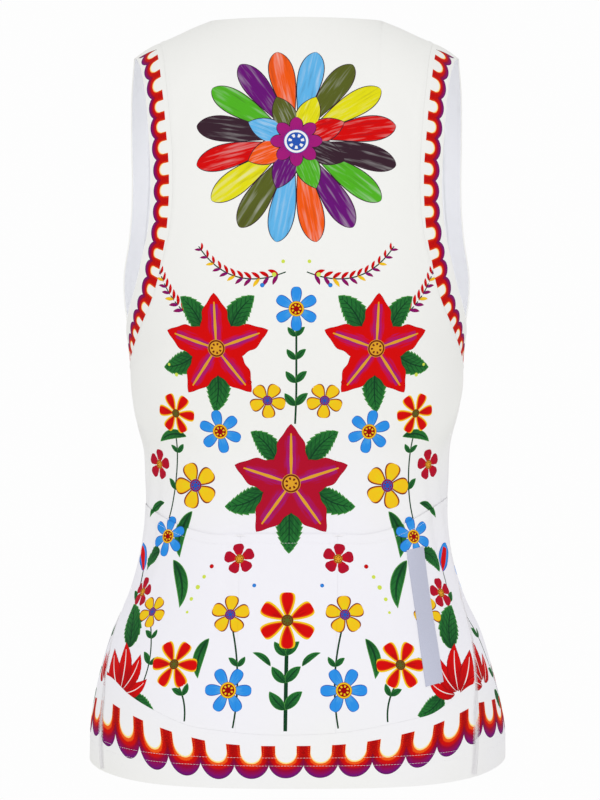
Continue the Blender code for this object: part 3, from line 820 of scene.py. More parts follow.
def printedLayer():
    # one layer of printed forms over the ground below it, as a group that each layer uses
    group = bpy.data.node_groups.new("printedLayer", "ShaderNodeTree")
    sockets = (("Ground", "INPUT", "Color"), ("Place", "INPUT", "Vector"), ("Color", "OUTPUT", "Color"))
    for name, way, form in sockets:
        group.interface.new_socket(name, in_out=way, socket_type="NodeSocket" + form)
    looks = Looks(group)
    work, mix, clamp = looks.math, looks.mix, looks.clamp
    ground = looks.node("NodeGroupInput")
    x, y, kind = looks.parts(ground.other("Place"))
    petals, width, swell = kindNumbers(looks, kind, "petals", "width", "swell")
    tip, heart, rib = kindNumbers(looks, kind, "tip", "heart", "rib")
    serration, veins, outline = kindNumbers(looks, kind, "serration", "veins", "outline")
    radius = (x * x + y * y) ** 0.5
    angle = work("ARCTAN2", y, x)
    wedge = 2 * math.pi / petals
    folded = work("WRAP", angle, wedge * 0.5, wedge * -0.5)
    along = radius * work("COSINE", folded)
    across = work("ABSOLUTE", radius * work("SINE", folded))
    start = work("MAXIMUM", along, 0.0)
    end = work("MAXIMUM", 1.0 - along, 0.0)
    isLeaf = petals < 1.5
    wave = work("SINE", along * 20.0 + 3.4) * 0.5 + 0.5
    teeth = 1.0 - serration * (wave + isLeaf * (work("FRACT", along * 9.0) - wave))
    half = width * start**swell * end**tip * teeth
    inside = half - across
    streaks = looks.noise(looks.joined(along * 2.5, across * 26.0, kind * 90.0 + angle * 2.0), 1.0, 3.0)
    nearHeart = clamp(1.15 - 1.9 * along + (streaks - 0.5) * 2.6) * 0.75
    outwards = across / work("MAXIMUM", half, 0.001)
    nearRib = clamp(1.35 - 2.9 * outwards + (streaks - 0.5) * 2.4) * (along < 0.8)
    shadeShare = nearHeart + (1.0 - isLeaf) * veins * (nearRib - nearHeart)
    color = mix(shadeShare, kindInk(looks, kind, "fill"), kindInk(looks, kind, "shade"))
    # a rosette's petals take their inks in turn
    turnInks = [(i / len(rosetteInks), ink[name]) for i, name in enumerate(rosetteInks)]
    petal = work("FRACT", work("FLOOR", angle / wedge + 8.5) / len(rosetteInks) + 0.01)
    petalInk = looks.ramp(petal, turnInks, "CONSTANT")
    manyInks = work("MAXIMUM", petals > 15.0, work("COMPARE", petals, 8.0, 0.5) * (heart < 0.4))
    streaked = mix(clamp((streaks - 0.5) * 3.0) * 0.4, petalInk, ink["white"])
    streaked = mix(clamp((0.42 - streaks) * 4.0) * 0.5, streaked, ink["black"])
    color = mix(manyInks, color, streaked)
    ribInk = kindInk(looks, kind, "ribInk")
    color = mix((across < half * rib) * (half > 0.002) * (along < 0.84), color, ribInk)
    veinLines = (work("FRACT", along * 7.0 - across * 9.0) < 0.2) * (outwards < 0.8)
    color = mix(veinLines * veins * isLeaf * (half > 0.02) * 0.8, color, ribInk)
    rim = clamp(2.2 - 1.5 * inside / work("MAXIMUM", outline, 0.001))
    color = mix(rim * (outline > 0.06) * 0.7, color, ink["orange"])
    color = mix(inside < outline * 0.75, color, kindInk(looks, kind, "edge"))
    share = radius / work("MAXIMUM", heart, 0.001)
    dots = (work("SINE", angle * 7.0) > 0.1) * work("COMPARE", share, 0.5, 0.13)
    ring = work("COMPARE", share, 0.86, 0.09)
    heartInk, ringInk = kindInk(looks, kind, "heartInk"), kindInk(looks, kind, "ringInk")
    isHeart = share < 1.0
    color = mix(isHeart, color, mix(work("MAXIMUM", dots, ring), heartInk, ringInk))
    mask = work("MAXIMUM", inside > 0.0, isHeart)
    looks.feed(group.nodes.new("NodeGroupOutput").inputs["Color"], mix(mask, ground, color))
    return group


# The scalloped borders, in mm from the lowest line of a scallop and from its middle.
hemBorder = {
    "post": 10.4,          # the width of the square posts between the arches
    "arch": 11.8,          # from the lowest line up to the arch's crown
    "top": 24.2,
    "lobe": 9.4,           # how far the notches rise between the lobes
    "under": 7.4,          # how far the purple fades up into the red
    "rim": 0.55,
    "glow": 2.6,           # how thick the orange is at the arch's crown
    "bead": 1.7,
    "first": -99,
    "slant": 0,
    "core": 0.75,          # how dark the posts' middles are
}
armholeBorder = {
    "post": 7.2,
    "arch": 7.3,
    "top": 15.4,
    "lobe": 3.8,
    "under": 4.6,
    "rim": 0.5,
    "glow": 1.2,
    "bead": 0.9,
    "first": -0.97,        # the print starts at the shoulder seam, at this scallop, on a slant
    "slant": 0.046,
    "core": 0.3,
}
borderInks = ((0, "plum"), (0.1, "purple"), (0.45, "berry"), (0.75, "wine"), (1, "borderRed"))


def scallops(looks, ground, size):
    work, mix, clamp = looks.math, looks.mix, looks.clamp
    phase, above, pitch = looks.parts(looks.value("border"))
    across = work("ABSOLUTE", (phase - work("FLOOR", phase + 0.5)) * pitch)
    halfPitch = pitch * 0.5
    lobeRadius = (halfPitch * halfPitch + size["lobe"] ** 2) / (2 * size["lobe"])
    reach = work("MAXIMUM", lobeRadius * lobeRadius - across * across, 0.0) ** 0.5
    overEdge = above - (lobeRadius - reach)
    halfArch = halfPitch - size["post"] / 2
    middle = halfArch + size["arch"]
    under = work("MINIMUM", above - middle, 0.0)
    fromArch = (across * across + under * under) ** 0.5 - halfArch
    grain = looks.noise(looks.joined(across * 0.9, above * 0.9, phase * 1.7), 1.6, 3.0)
    drift = (grain - 0.5) * size["rim"] * 3.0
    fade = clamp((overEdge + drift * 1.5) / size["under"])
    color = looks.ramp(fade, [(place, ink[name]) for place, name in borderInks])
    core = clamp(1.3 - (halfPitch - across) / (size["post"] * 0.34))
    color = mix(core * clamp(grain * 3.2 - 0.9) * size["core"], color, ink["darkRed"])
    color = mix(clamp((grain - 0.5) * 3.0) * 0.6, color, ink["darkRed"])
    beadBumpsAndGlints = (work("SINE", above * (2 * math.pi / 1.4)) > -0.1) * work("COMPARE", fromArch, size["bead"], 0.3)
    color = mix(beadBumpsAndGlints * (fade > 0.9) * 0.75, color, ink["orange"])
    crown = clamp((middle - above) / halfArch)
    glow = clamp((size["glow"] * crown + size["rim"] - fromArch + drift) * (0.8 / size["rim"]))
    color = mix(glow, color, ink["orange"])
    rim = clamp((size["rim"] * (0.7 + 1.4 * crown) - fromArch + drift * 0.4) * 2.5)
    color = mix(rim, color, ink["paleYellow"])
    begin = above * size["slant"] + size["first"]
    inside = (overEdge > 0.0) * (fromArch > 0.0) * (above < size["top"]) * (phase > begin)
    seam = work("COMPARE", phase, begin, 0.03) * (above > -0.5) * (above < size["top"] + 0.5)
    return mix(seam * 0.85, mix(inside, ground, color), ink["black"])


jersey = {
    "cool": srgb(241, 240, 246),
    "warm": srgb(241, 241, 238),
    "inside": srgb(241, 241, 244),
    "insideCool": srgb(236, 237, 240),
    "coolHeight": 0.47,     # how far down the cool white is clearest, in m
    "roughness": 0.85,
    "sheen": 0.02,
    "stitchWidth": 0.55,
    "stitchHeight": 0.40,
    "bump": 0.25,
    "bumpDepth": 0.12 * mm,
}


def knitHeight(looks):
    # rows of fine knit loops along the cloth's own measures, in mm
    around, down, _ = looks.parts(looks.value("cloth"))
    ribs = looks.math("ABSOLUTE", looks.math("SINE", around * (math.pi / jersey["stitchWidth"])))
    return ribs + looks.math("SINE", down * (2 * math.pi / jersey["stitchHeight"]) + ribs * 2.0) * 0.4


def jerseyLooks(name, layers=0, border=None, inside=False):
    looks = Coat(name, jersey["roughness"], jersey["sheen"])
    place = looks.place()
    patches = (looks.noise(place, 9.0) - 0.5) * 2.2
    if inside:
        color = looks.mix(looks.clamp(patches + 0.5), jersey["inside"], jersey["insideCool"])
    else:
        fromCool = looks.math("ABSOLUTE", looks.parts(place)[2] + jersey["coolHeight"])
        color = looks.mix(looks.clamp(patches * 0.6 + fromCool * 9.0 - 0.3), jersey["cool"], jersey["warm"])
    for layer in range(layers):
        sockets = {"Ground": color, "Place": looks.value("motif%d" % (layer + 1))}
        color = looks.node("ShaderNodeGroup", sockets, {"node_tree": layerGroup})
    if border:
        color = scallops(looks, color, border)
    looks.paint(color)
    looks.bump(knitHeight(looks), jersey["bump"], jersey["bumpDepth"])
    return looks.material


def threadLooks():
    looks = Coat("whiteThread", 0.6, 0.2)
    twist = looks.noise(looks.place(), 1400.0)
    looks.paint(looks.mix(twist, (0.93, 0.91, 0.94, 1), (0.98, 0.97, 0.98, 1)))
    return looks.material


def tapeLooks():
    # grey glass-bead tape over a satin ground: its fine sparkle is painted glints, lighter specks in the
    # colour, from the same noise that gives the beads' real bumps
    looks = Coat("reflectiveTape", 0.38)
    beadBumpsAndGlints = looks.noise(looks.place(), 2600.0, 1.0)
    # painted glints: the noise lightens the grey in fine specks
    looks.paint(looks.mix(beadBumpsAndGlints, srgb(178, 181, 200), srgb(204, 206, 222)))
    looks.inputs["Metallic"].default_value = 0.25
    looks.bump(beadBumpsAndGlints, 0.2, 0.05 * mm)
    return looks.material


layerGroup = printedLayer()
plainInside = jerseyLooks("plainInside", inside=True)
printedBack = jerseyLooks("printedJersey", layerCount)
printedFront = jerseyLooks("printedFrontJersey", layerCount, hemBorder)
hemLooks = jerseyLooks("scallopedHemJersey", border=hemBorder)
bandLooks = jerseyLooks("scallopedBandJersey", border=armholeBorder)
tapeMaterial = tapeLooks()
thread = threadLooks()
print("sleeveless top: the materials are made")


# Where the printed forms lie. The aside is the way round the cloth from its middle line, the same on both
# sides, and all are in mm.
blossoms = (
    # kind, aside, height, radius, spin
    ("rosetteOuter", 0, -104, 78, 11.25),
    ("rosetteMiddle", 0, -104, 40, 22.5),
    ("rosetteHeart", 0, -104, 20, 0),
    ("redStar", 62, -262, 43, 18),
    ("magentaStar", 0, -366, 46, 90),
    ("blueDaisy", 0, -232, 17, 90),
    ("yellowFlower", 22, -302, 14, 50),
    ("blueDaisy", 58, -326, 17, 20),
    ("orangeFlower", 96, -312, 16, 10),
    ("yellowFlower", 76, -368, 18, 70),
    ("redFlower", 114, -352, 12, 30),
    ("redFlower", 38, -424, 12, 80),
    ("blueDaisy", 100, -408, 16, 40),
    ("orangeFlower", 0, -470, 22, 30),
    ("yellowFlower", 44, -466, 15, 20),
    ("blueDaisy", 44, -522, 18, 60),
    ("orangeFlower", 88, -504, 19, 0),
    ("redFlower", 128, -452, 12, 20),
    ("yellowFlower", 112, -466, 13, 50),
    ("limeDot", 10, -196, 1.5, 0),
    ("limeDot", 17, -206, 1.8, 0),
    ("blueDot", 26, -214, 1.8, 0),
    ("limeDot", 96, -282, 1.6, 0),
    ("limeDot", 103, -274, 1.2, 0),
    ("berry", 36, -288, 1.8, 0),
    ("berry", 60, -430, 1.8, 0),
    ("limeDot", 66, -438, 1.6, 0),
    ("limeDot", 71, -446, 1.9, 0),
    ("limeDot", 76, -455, 1.6, 0),
    ("limeDot", 79, -465, 1.2, 0),
    ("blueDot", 26, -444, 1.6, 0),
)

leaves = (
    # kind, fromAside, fromHeight, toAside, toHeight, bend
    ("broadLeaf", 72, -250, 92, -222, 3),
    ("broadLeaf", 52, -250, 32, -222, -3),
    ("broadLeaf", 62, -276, 63, -311, -2),
    ("broadLeaf", 78, -266, 108, -276, -3),
    ("broadLeaf", 12, -350, 34, -326, 3),
    ("broadLeaf", 18, -370, 51, -384, -4),
    ("broadLeaf", 0, -382, 0, -420, 0),
    ("slenderLeaf", 86, -330, 112, -334, 4),
    ("slenderLeaf", 78, -388, 88, -424, 5),
    ("slenderLeaf", 94, -426, 86, -462, -5),
    ("broadLeaf", 108, -420, 128, -436, 4),
    ("slenderLeaf", 106, -382, 126, -394, 3),
    ("slenderLeaf", 12, -504, 26, -494, 2),
    ("slenderLeaf", 60, -484, 68, -514, 4),
    ("blueBud", 134, -436, 140, -414, 0),
    ("broadLeaf", 134, -494, 140, -462, 4),
    ("broadLeaf", 124, -528, 102, -542, 3),
    ("redPetal", 136, -528, 112, -516, 3),
    ("redPetal", 138, -526, 120, -498, 3),
    ("redPetal", 140, -526, 138, -490, 2),
    ("redPetal", 142, -527, 156, -496, -3),
    ("redPetal", 142, -530, 164, -514, -3),
)

# A sprig is a stem with leaves in pairs along it, whose kinds take turns.
sprigSeeds = ("redSeed", "purpleSeed", "redSeed", "purpleSeed", "redSeed", "ochreSeed")
sprigLeaves = ("smallLeaf",)
sprigs = (
    # fromAside, fromHeight, toAside, toHeight, bend, stemWidth, pairs, leafLength, leafKinds
    (86, -236, 114, -190, -5, 0.5, 9, 9, sprigSeeds),
    (8, -204, 76, -184, -14, 0.5, 11, 9, sprigSeeds),
    (0, -320, 0, -244, 0, 0.8, 4, 14, sprigLeaves),
    (0, -552, 0, -486, 0, 1.5, 3, 20, sprigLeaves),
    (40, -550, 42, -476, 4, 0.7, 1, 12, sprigLeaves),
    (78, -546, 86, -516, 3, 0.7, 1, 13, sprigLeaves),
    (116, -520, 112, -476, 4, 0.6, 2, 12, sprigLeaves),
    (134, -500, 134, -434, -4, 0.6, 1, 12, sprigLeaves),
    (100, -394, 96, -328, 4, 0.6, 2, 12, sprigLeaves),
)

# The front's print goes on round the sides with these.
flankBlossoms = (
    ("blueDaisy", 176, -440, 17, 15),
    ("yellowFlower", 206, -380, 16, 35),
    ("redFlower", 168, -366, 12, 60),
    ("orangeFlower", 232, -452, 19, 10),
    ("redFlower", 214, -520, 12, 60),
    ("limeDot", 198, -420, 1.8, 0),
    ("limeDot", 203, -430, 1.5, 0),
    ("berry", 190, -400, 1.8, 0),
)
flankLeaves = (
    ("redPetal", 262, -522, 242, -500, 3),
    ("redPetal", 264, -520, 258, -482, 2),
    ("redPetal", 266, -521, 276, -486, -3),
    ("redPetal", 268, -524, 290, -506, -3),
    ("broadLeaf", 256, -478, 262, -444, 4),
    ("slenderLeaf", 182, -458, 192, -492, 4),
    ("broadLeaf", 222, -398, 240, -414, 3),
    ("broadLeaf", 246, -530, 228, -544, 3),
    ("slenderLeaf", 160, -330, 178, -312, 3),
)
flankSprigs = (
    (178, -546, 176, -458, 5, 0.7, 3, 14, sprigLeaves),
    (226, -546, 232, -472, -4, 0.7, 2, 14, sprigLeaves),
    (196, -352, 222, -318, 6, 0.5, 6, 9, sprigSeeds),
    (270, -478, 270, -430, 4, 0.6, 2, 12, sprigLeaves),
)

# How the print is laid on: points along a stem, a leaf and a sprig's leaf, how a pair of leaves stands off
# its stem, how much the last leaves shrink, where the front's neckline ends the print, and the ease round
# each form.
layout = {
    "stemPoints": 24,
    "leafPoints": 16,
    "pairPoints": 10,
    "pairSpread": 0.75,
    "pairShrink": 0.35,
    "pairBow": 0.06,
    "frontTop": -150,
    "aroundSteps": 56,
    "aroundReach": 126 * degree,
    "ease": 0.7 * mm,
    "blossomReach": 4.2 * mm,
    "lineReach": 14 * mm,
    "outside": 9.0,
}


def turnAround(around, height, isFront):
    # the turn of each place this far round the cloth from the centre back or the centre front
    middle = np.pi - twistAt(height) if isFront else turnAt(centerBackAt(height), height)
    steps, reach = layout["aroundSteps"], layout["aroundReach"]
    turns = middle[:, None] + np.linspace(-reach, reach, 2 * steps + 1)
    lines = together(*bodySection(turns, height[:, None]))
    marks = [marksAlong(line) for line in lines]
    return np.array([np.interp(*row) for row in zip(around, [mark - mark[steps] for mark in marks], turns)])


def bentLine(start, end, bend, count):
    # a bent line on the flat print, bowed to its left by the bend
    share = np.linspace(0, 1, count)[:, None]
    start, end = np.array(start, float), np.array(end, float)
    side = unitOf(np.array([start[1] - end[1], end[0] - start[0]]))
    return start * (1 - share) + end * share + side * bend * 4 * share * (1 - share)


def sprigForms(sprig):
    fromAside, fromHeight, toAside, toHeight, bend, width, pairs, leafLength, leafKinds = sprig
    line = bentLine((fromAside, fromHeight), (toAside, toHeight), bend, layout["stemPoints"])
    forms = [{"kind": "stem", "halfWidth": width, "line": line}]
    last = len(line) - 1
    for i in range(pairs):
        share = (i + 0.8) / (pairs + 0.3)
        place = share * last
        base = np.array([np.interp(place, np.arange(last + 1), line[:, k]) for k in (0, 1)])
        ahead = line[min(int(place) + 1, last)] - line[max(int(place) - 1, 0)]
        for j, way in enumerate((1, -1)):
            heading = math.atan2(ahead[1], ahead[0]) + way * layout["pairSpread"]
            length = leafLength * (1 - layout["pairShrink"] * share)
            tip = base + length * np.array([math.cos(heading), math.sin(heading)])
            leaf = bentLine(base, tip, layout["pairBow"] * length, layout["pairPoints"])
            forms.append({"kind": leafKinds[(2 * i + j) % len(leafKinds)], "line": leaf})
    single = fromAside == toAside == 0
    return [dict(form, single=single) for form in forms]


def printedForms(isFront):
    # every form of the print, from the lowest to the highest layer, on the flat print
    forms = []
    for sprig in sprigs + flankSprigs * isFront:
        forms += sprigForms(sprig)
    for kind, fromAside, fromHeight, toAside, toHeight, bend in leaves + flankLeaves * isFront:
        line = bentLine((fromAside, fromHeight), (toAside, toHeight), bend, layout["leafPoints"])
        forms.append({"kind": kind, "line": line, "single": fromAside == toAside == 0})
    for kind, aside, height, radius, spin in blossoms + flankBlossoms * isFront:
        line = np.array([[aside, height]], float)
        forms.append({"kind": kind, "radius": radius, "spin": spin, "line": line, "single": aside == 0})
    both = []
    for form in forms:
        both.append(form)
        if not form["single"]:
            both.append(dict(form, line=mirrored(form["line"]), spin=180 - form.get("spin", 0)))
    return [form for form in both if not isFront or form["line"][:, 1].max() < layout["frontTop"]]


def placedForms(isFront):
    # the forms with their points on the cloth and the cloth's outward directions there
    forms = printedForms(isFront)
    asides, heights = np.concatenate([form["line"] for form in forms]).T * mm
    net = netAt(turnAround(asides, heights, isFront), heights)
    points, outwards = pointsOn(net), outwardOn(net)
    end = 0
    for form in forms:
        start, end = end, end + len(form["line"])
        form["points"], form["outwards"] = points[start:end], outwards[start:end]
    return forms


def blossomMeasures(form, points):
    center, outward = form["points"][0], form["outwards"][0]
    up = unitOf(np.array([0, 0, 1.0]) - outward * outward[2])
    right = np.cross(up, outward)
    angle = form["spin"] * degree
    ahead = right * math.cos(angle) + up * math.sin(angle)
    left = up * math.cos(angle) - right * math.sin(angle)
    size = form["radius"] * mm
    away = points - center
    x, y, off = away @ ahead / size, away @ left / size, away @ outward
    near = (np.hypot(x, y) < 1 + layout["blossomReach"] / size) & (np.abs(off) < 0.6 * size + 10 * mm)
    return x, y, near, (layout["ease"] / size, layout["ease"] / size)


def lineMeasures(form, points):
    samples = form["points"]
    steps = np.diff(samples, axis=0)
    lengths = np.linalg.norm(steps, axis=1)
    marks = marksAlong(samples)
    total = marks[-1]
    center = samples.mean(axis=0)
    reach = np.linalg.norm(samples - center, axis=1).max() + layout["lineReach"]
    near = np.linalg.norm(points - center, axis=1) < reach
    away = points[near][:, None] - samples[None, :-1]
    low, high = np.zeros(len(steps)), np.ones(len(steps))
    low[0], high[-1] = -99, 99      # the first and the last stretch run on past the ends
    share = np.clip(np.sum(away * steps, axis=2) / lengths**2, low, high)
    apart = away - share[..., None] * steps
    nearest = np.argmin(np.linalg.norm(apart, axis=2), axis=1)
    rows = np.arange(len(nearest))
    left = np.cross(form["outwards"][:-1], steps / lengths[:, None])
    aside = np.sum(apart[rows, nearest] * left[nearest], axis=1)
    along = marks[nearest] + share[rows, nearest] * lengths[nearest]
    unit = form["halfWidth"] * mm / kinds["stem"][1] if "halfWidth" in form else total
    x, y = np.full((2, len(points)), layout["outside"])
    x[near], y[near] = along / total, aside / unit
    return x, y, near, (layout["ease"] / total, layout["ease"] / unit)


def isDrawn(kind, x, y, margins):
    # whether places in a form's own measures lie inside it, or within the margins of it
    petals, width, swell, tip, heart = (kindColumn(kind, column) for column in numberColumns[:5])
    wedge = 2 * np.pi / petals
    radius = np.hypot(x, y)
    folded = (np.arctan2(y, x) + wedge / 2) % wedge - wedge / 2
    along, across = radius * np.cos(folded), np.abs(radius * np.sin(folded))
    inner = np.clip(along, 0.02, 0.98)
    half = width * inner**swell * (1 - inner) ** tip
    petal = (across < half + margins[1]) & (along > -margins[0]) & (along < 1 + margins[0])
    return petal | (radius < heart + margins[0])


# The places on a face where a form is looked for, as shares of its four corners.
spots = np.array([[u, v] for u in (0, 0.33, 0.67, 1) for v in (0, 0.33, 0.67, 1)]).T
spotShares = np.stack([(1 - spots[0]) * (1 - spots[1]), spots[0] * (1 - spots[1]),
                       spots[0] * spots[1], (1 - spots[0]) * spots[1]])


def cornersOf(mesh):
    corners = np.empty(len(mesh.loops), np.int32)
    mesh.loops.foreach_get("vertex_index", corners)
    return corners


def setCorners(mesh, name, values):
    mesh.attributes.new(name, "FLOAT_VECTOR", "CORNER").data.foreach_set("vector", np.ravel(values))


def printOn(mesh, points, forms):
    # gives each face the printed forms that touch it, layer over layer, in each form's own measures
    corners = cornersOf(mesh).reshape(-1, 4)
    layers = np.full((len(corners), layerCount, 4, 3), (layout["outside"], layout["outside"], 0.0))
    used = np.zeros(len(corners), int)
    crowded = 0
    for form in forms:
        measures = blossomMeasures if "radius" in form else lineMeasures
        x, y, near, margins = measures(form, points)
        touched = np.nonzero(near[corners].all(axis=1))[0]
        if not len(touched):
            continue
        cornerX, cornerY = x[corners[touched]], y[corners[touched]]
        drawn = isDrawn(form["kind"], cornerX @ spotShares, cornerY @ spotShares, margins).any(axis=1)
        touched, cornerX, cornerY = touched[drawn], cornerX[drawn], cornerY[drawn]
        full = touched[used[touched] == layerCount]
        layers[full, :-1] = layers[full, 1:]
        used[full] -= 1
        crowded += len(full)
        kind = (list(kinds).index(form["kind"]) + 0.5) / kindRoom
        layers[touched, used[touched]] = together(cornerX, cornerY, kind)
        used[touched] += 1
    for i in range(layerCount):
        setCorners(mesh, "motif%d" % (i + 1), layers[:, i])
    print("print on", mesh.name, "- faces with too many forms:", crowded)


# The hem's border: its lowest line round the back and how much taller it grows towards the sides, by the way
# round from the centre back. The scallops' middles lie a whole pitch apart from the first one's.
hemLine = (
    # aside, height, growth
    (-170, -567, 1.42),
    (-135, -576.5, 1.42),
    (-109, -583.4, 1.40),
    (-84, -586.4, 1.26),
    (-60, -588.2, 1.14),
    (-33, -587.6, 1.03),
    (-8, -587, 1.00),
    (17, -586.7, 1.00),
    (43, -586.2, 1.04),
    (71, -584.6, 1.16),
    (95, -580.6, 1.20),
    (123, -572.8, 1.20),
    (150, -565, 1.20),
)
hemScallop = {
    "pitch": 25.6,
    "middle": -7.7,
    "frontHeight": -564,
    "frontGrowth": 1.15,
    "frontRow": 4,          # the front's row of points on which the way round is measured
    "frontRowHeight": -0.58,
}
hemLineAt, hemGrowthAt = (tableCurve(hemLine, column, 1, 1) for column in (1, 2))

# The scallops along the armhole, from the back of the shoulder: the way along, the scallop there and how far
# its lowest line lies from the edge, in mm.
armholeLine = (
    # along, scallop, margin
    (0, -2.4, 2.2),
    (36.6, 0, 2.2),
    (71.0, 2, 2.3),
    (102.2, 4, 2.5),
    (135.2, 6, 3.0),
    (165.6, 8, 3.5),
    (194.5, 10, 5.2),
    (221.0, 12, 7.4),
    (247.0, 14, 8.2),
    (600, 41, 8.2),
)
armholeScallopAt, armholeMarginAt = (tableCurve(armholeLine, column, 1, 1) for column in (1, 2))


def hemBorderValues(net, points):
    isFront = net[0, -1, 0] > np.pi
    row = hemScallop["frontRow"] if isFront else 0
    middleTurn = np.pi - twistAt(hemScallop["frontRowHeight"]) if isFront else 0.0
    marks = marksAlong(points[row]) / mm
    aside = marks - np.interp(middleTurn, net[row, :, 0], marks)
    if isFront:
        low, growth, middle = hemScallop["frontHeight"], hemScallop["frontGrowth"], 0
    else:
        low, growth, middle = hemLineAt(aside), hemGrowthAt(aside), hemScallop["middle"]
    phase = (aside - middle) / hemScallop["pitch"]
    return together(phase, (points[..., 2] / mm - low) / growth, hemScallop["pitch"])


def armholeBorderValues(net, points):
    along = marksAlong(points[0]) / mm
    widths = np.linalg.norm(np.diff(points, axis=0), axis=2)
    across = np.cumsum(np.concatenate([0 * widths[:1], widths]), axis=0) / mm
    phase = armholeScallopAt(along)
    return together(phase, across - armholeMarginAt(along), 1 / np.gradient(phase, along))


def clothValues(points):
    # the way round and the way down the cloth in mm, for the knit
    rows, columns = points.shape[:2]
    around, down = marksAlong(points[rows // 2]), marksAlong(points[:, columns // 2])
    return together(around / mm, down[:, None] / mm, 0.0)


cloth = {
    "panel": 0.8 * mm,
    "band": 1.2 * mm,
    "pocket": 0.45 * mm,
    "pocketLift": 0.6 * mm,
    "tape": 0.4 * mm,
    "seamDip": 0.08 * mm,
    "ridge": 0.45 * mm,     # how far the flatlock's two ridges stand up beside a side seam
    "hemLiftFrom": 0.6,     # the share of the hem band's height above which it rises to the pockets
}


def makePiece(name, form, *materials):
    mesh = bpy.data.meshes.new(name)
    form.to_mesh(mesh)
    form.free()
    for material in materials:
        mesh.materials.append(material)
    piece = bpy.data.objects.new(name, mesh)
    bpy.context.collection.objects.link(piece)
    return piece


def thicken(piece, thickness, offset):
    shell = piece.modifiers.new("thickness", "SOLIDIFY")
    shell.thickness = thickness
    shell.offset = offset
    return shell


def fitGrid(verts, points):
    # moves a flat grid's corners to the points of a net, and says which point each corner has
    rows, columns = points.shape[:2]
    places = np.array([vert.co[:2] for vert in verts])
    index = np.rint((places + 1) / 2 * (columns - 1, rows - 1)).astype(int) @ (1, columns)
    for vert, point in zip(verts, points.reshape(-1, 3)[index]):
        vert.co = point
    return index


def makeCloth(name, node, net, thickness, materials, lift=0.0, dips="", ridges="", mirror=False,
              border=None, forms=()):
    # a thin shell on its net, with the sewn edges drawn in a little
    heights = np.zeros(net.shape[:2]) + lift
    ends = {"bottom": np.s_[0, :], "top": np.s_[-1, :], "left": np.s_[:, 0], "right": np.s_[:, -1]}
    for end in dips.split():
        heights[ends[end]] -= cloth["seamDip"]
    for end, column in (("left", 1), ("right", -2)):
        if end in ridges:
            heights[:, column] += cloth["ridge"]
    points = pointsOn(net) + outwardOn(net) * heights[..., None]
    grid = bmesh.new()
    bmesh.ops.create_grid(grid, x_segments=net.shape[1] - 1, y_segments=net.shape[0] - 1, size=1)
    index = fitGrid(grid.verts, points)
    if mirror:
        bmesh.ops.reverse_faces(grid, faces=grid.faces)
    for face in grid.faces:
        face.smooth = True
    for line in grid.edges:
        line.smooth = not line.is_boundary
    piece = makePiece(name, grid, *materials)
    shell = thicken(piece, thickness, -1)
    shell.material_offset = 1
    shell.material_offset_rim = 0
    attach(piece, "root")
    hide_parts(node)
    mesh, byCorner = piece.data, index[cornersOf(piece.data)]
    setCorners(mesh, "cloth", clothValues(points).reshape(-1, 3)[byCorner])
    if border:
        setCorners(mesh, "border", border(net, points).reshape(-1, 3)[byCorner])
    if forms:
        printOn(mesh, points.reshape(-1, 3)[index], forms)
    return piece


backForms, frontForms = placedForms(False), placedForms(True)
print("sleeveless top: the print is laid out")
backPiece = makeCloth(
    "backPanelCloth", "back_panel", back, cloth["panel"], (printedBack, plainInside),
    dips="bottom left right", ridges="left right", forms=backForms)
makeCloth(
    "frontPanelCloth", "front_panel", front, cloth["panel"], (printedFront, plainInside),
    dips="left right", ridges="left right", border=hemBorderValues, forms=frontForms)

# the hem band comes up to the pockets' level at its seam
hemShare = np.linspace(0, 1, faces["hem"] + 1)[:, None]
hemRise = np.clip((hemShare - cloth["hemLiftFrom"]) / (1 - cloth["hemLiftFrom"]), 0, 1) ** 2
makeCloth(
    "hemBandCloth", "hem_band_back", hemBand, cloth["band"], (hemLooks, plainInside),
    lift=(cut["gap"] + cloth["pocketLift"]) * hemRise, dips="top left right", ridges="left right",
    border=hemBorderValues)

for sideName, net in (("Right", band), ("Left", mirrored(band))):
    makeCloth(
        "armholeBand" + sideName + "Cloth", "armhole_band_" + sideName.lower(), net, cloth["band"],
        (bandLooks, plainInside), mirror=sideName == "Right", border=armholeBorderValues)

for sideName, net in zip(("Left", "Center", "Right"), pockets):
    pocketPiece = makeCloth(
        "pocket" + sideName + "Cloth", "pocket_" + sideName.lower(), insetSides(net, halfGap),
        cloth["pocket"], (printedBack, plainInside), lift=cut["gap"] + mouthLift(net) + cloth["pocketLift"],
        dips="left right bottom", ridges=sideName.lower(), forms=backForms)
print("sleeveless top: the cloth is made")

tapeShape = {
    "width": 17.5 * mm,
    "endSlope": 0.16,
    "top": (91.5 * mm, -417 * mm),
    "bottom": (105.5 * mm, -519.5 * mm),
    "clearance": 0.5 * mm,
}


def tapeNet():
    across, heights = np.linspace(tapeShape["bottom"], tapeShape["top"], faces["tapeLength"] + 1).T
    turns = turnAt(across, heights)
    byTurn, _ = surfaceSlopes(netAt(turns, heights))
    half = tapeShape["width"] / 2
    over = np.linspace(-1, 1, faces["tape"] + 1)
    netTurns = turns[:, None] + (half / np.linalg.norm(byTurn[:, :2], axis=1))[:, None] * over
    return netAt(netTurns, heights[:, None] + half * tapeShape["endSlope"] * over)


# the strip lies on the last pocket made, the right one
tape = tapeNet()
pocket = pockets[2]
pocketHeights = pointsOn(pocket[:, pocket.shape[1] // 2])[:, 2]
pocketRise = np.interp(pointsOn(tape)[..., 2], pocketHeights, mouthLift(pocket).max(axis=1))
makeCloth(
    "reflectiveStripTape", "reflective_strip", tape, cloth["tape"], (tapeMaterial, tapeMaterial),
    lift=cut["gap"] + cloth["pocketLift"] + tapeShape["clearance"] + pocketRise)


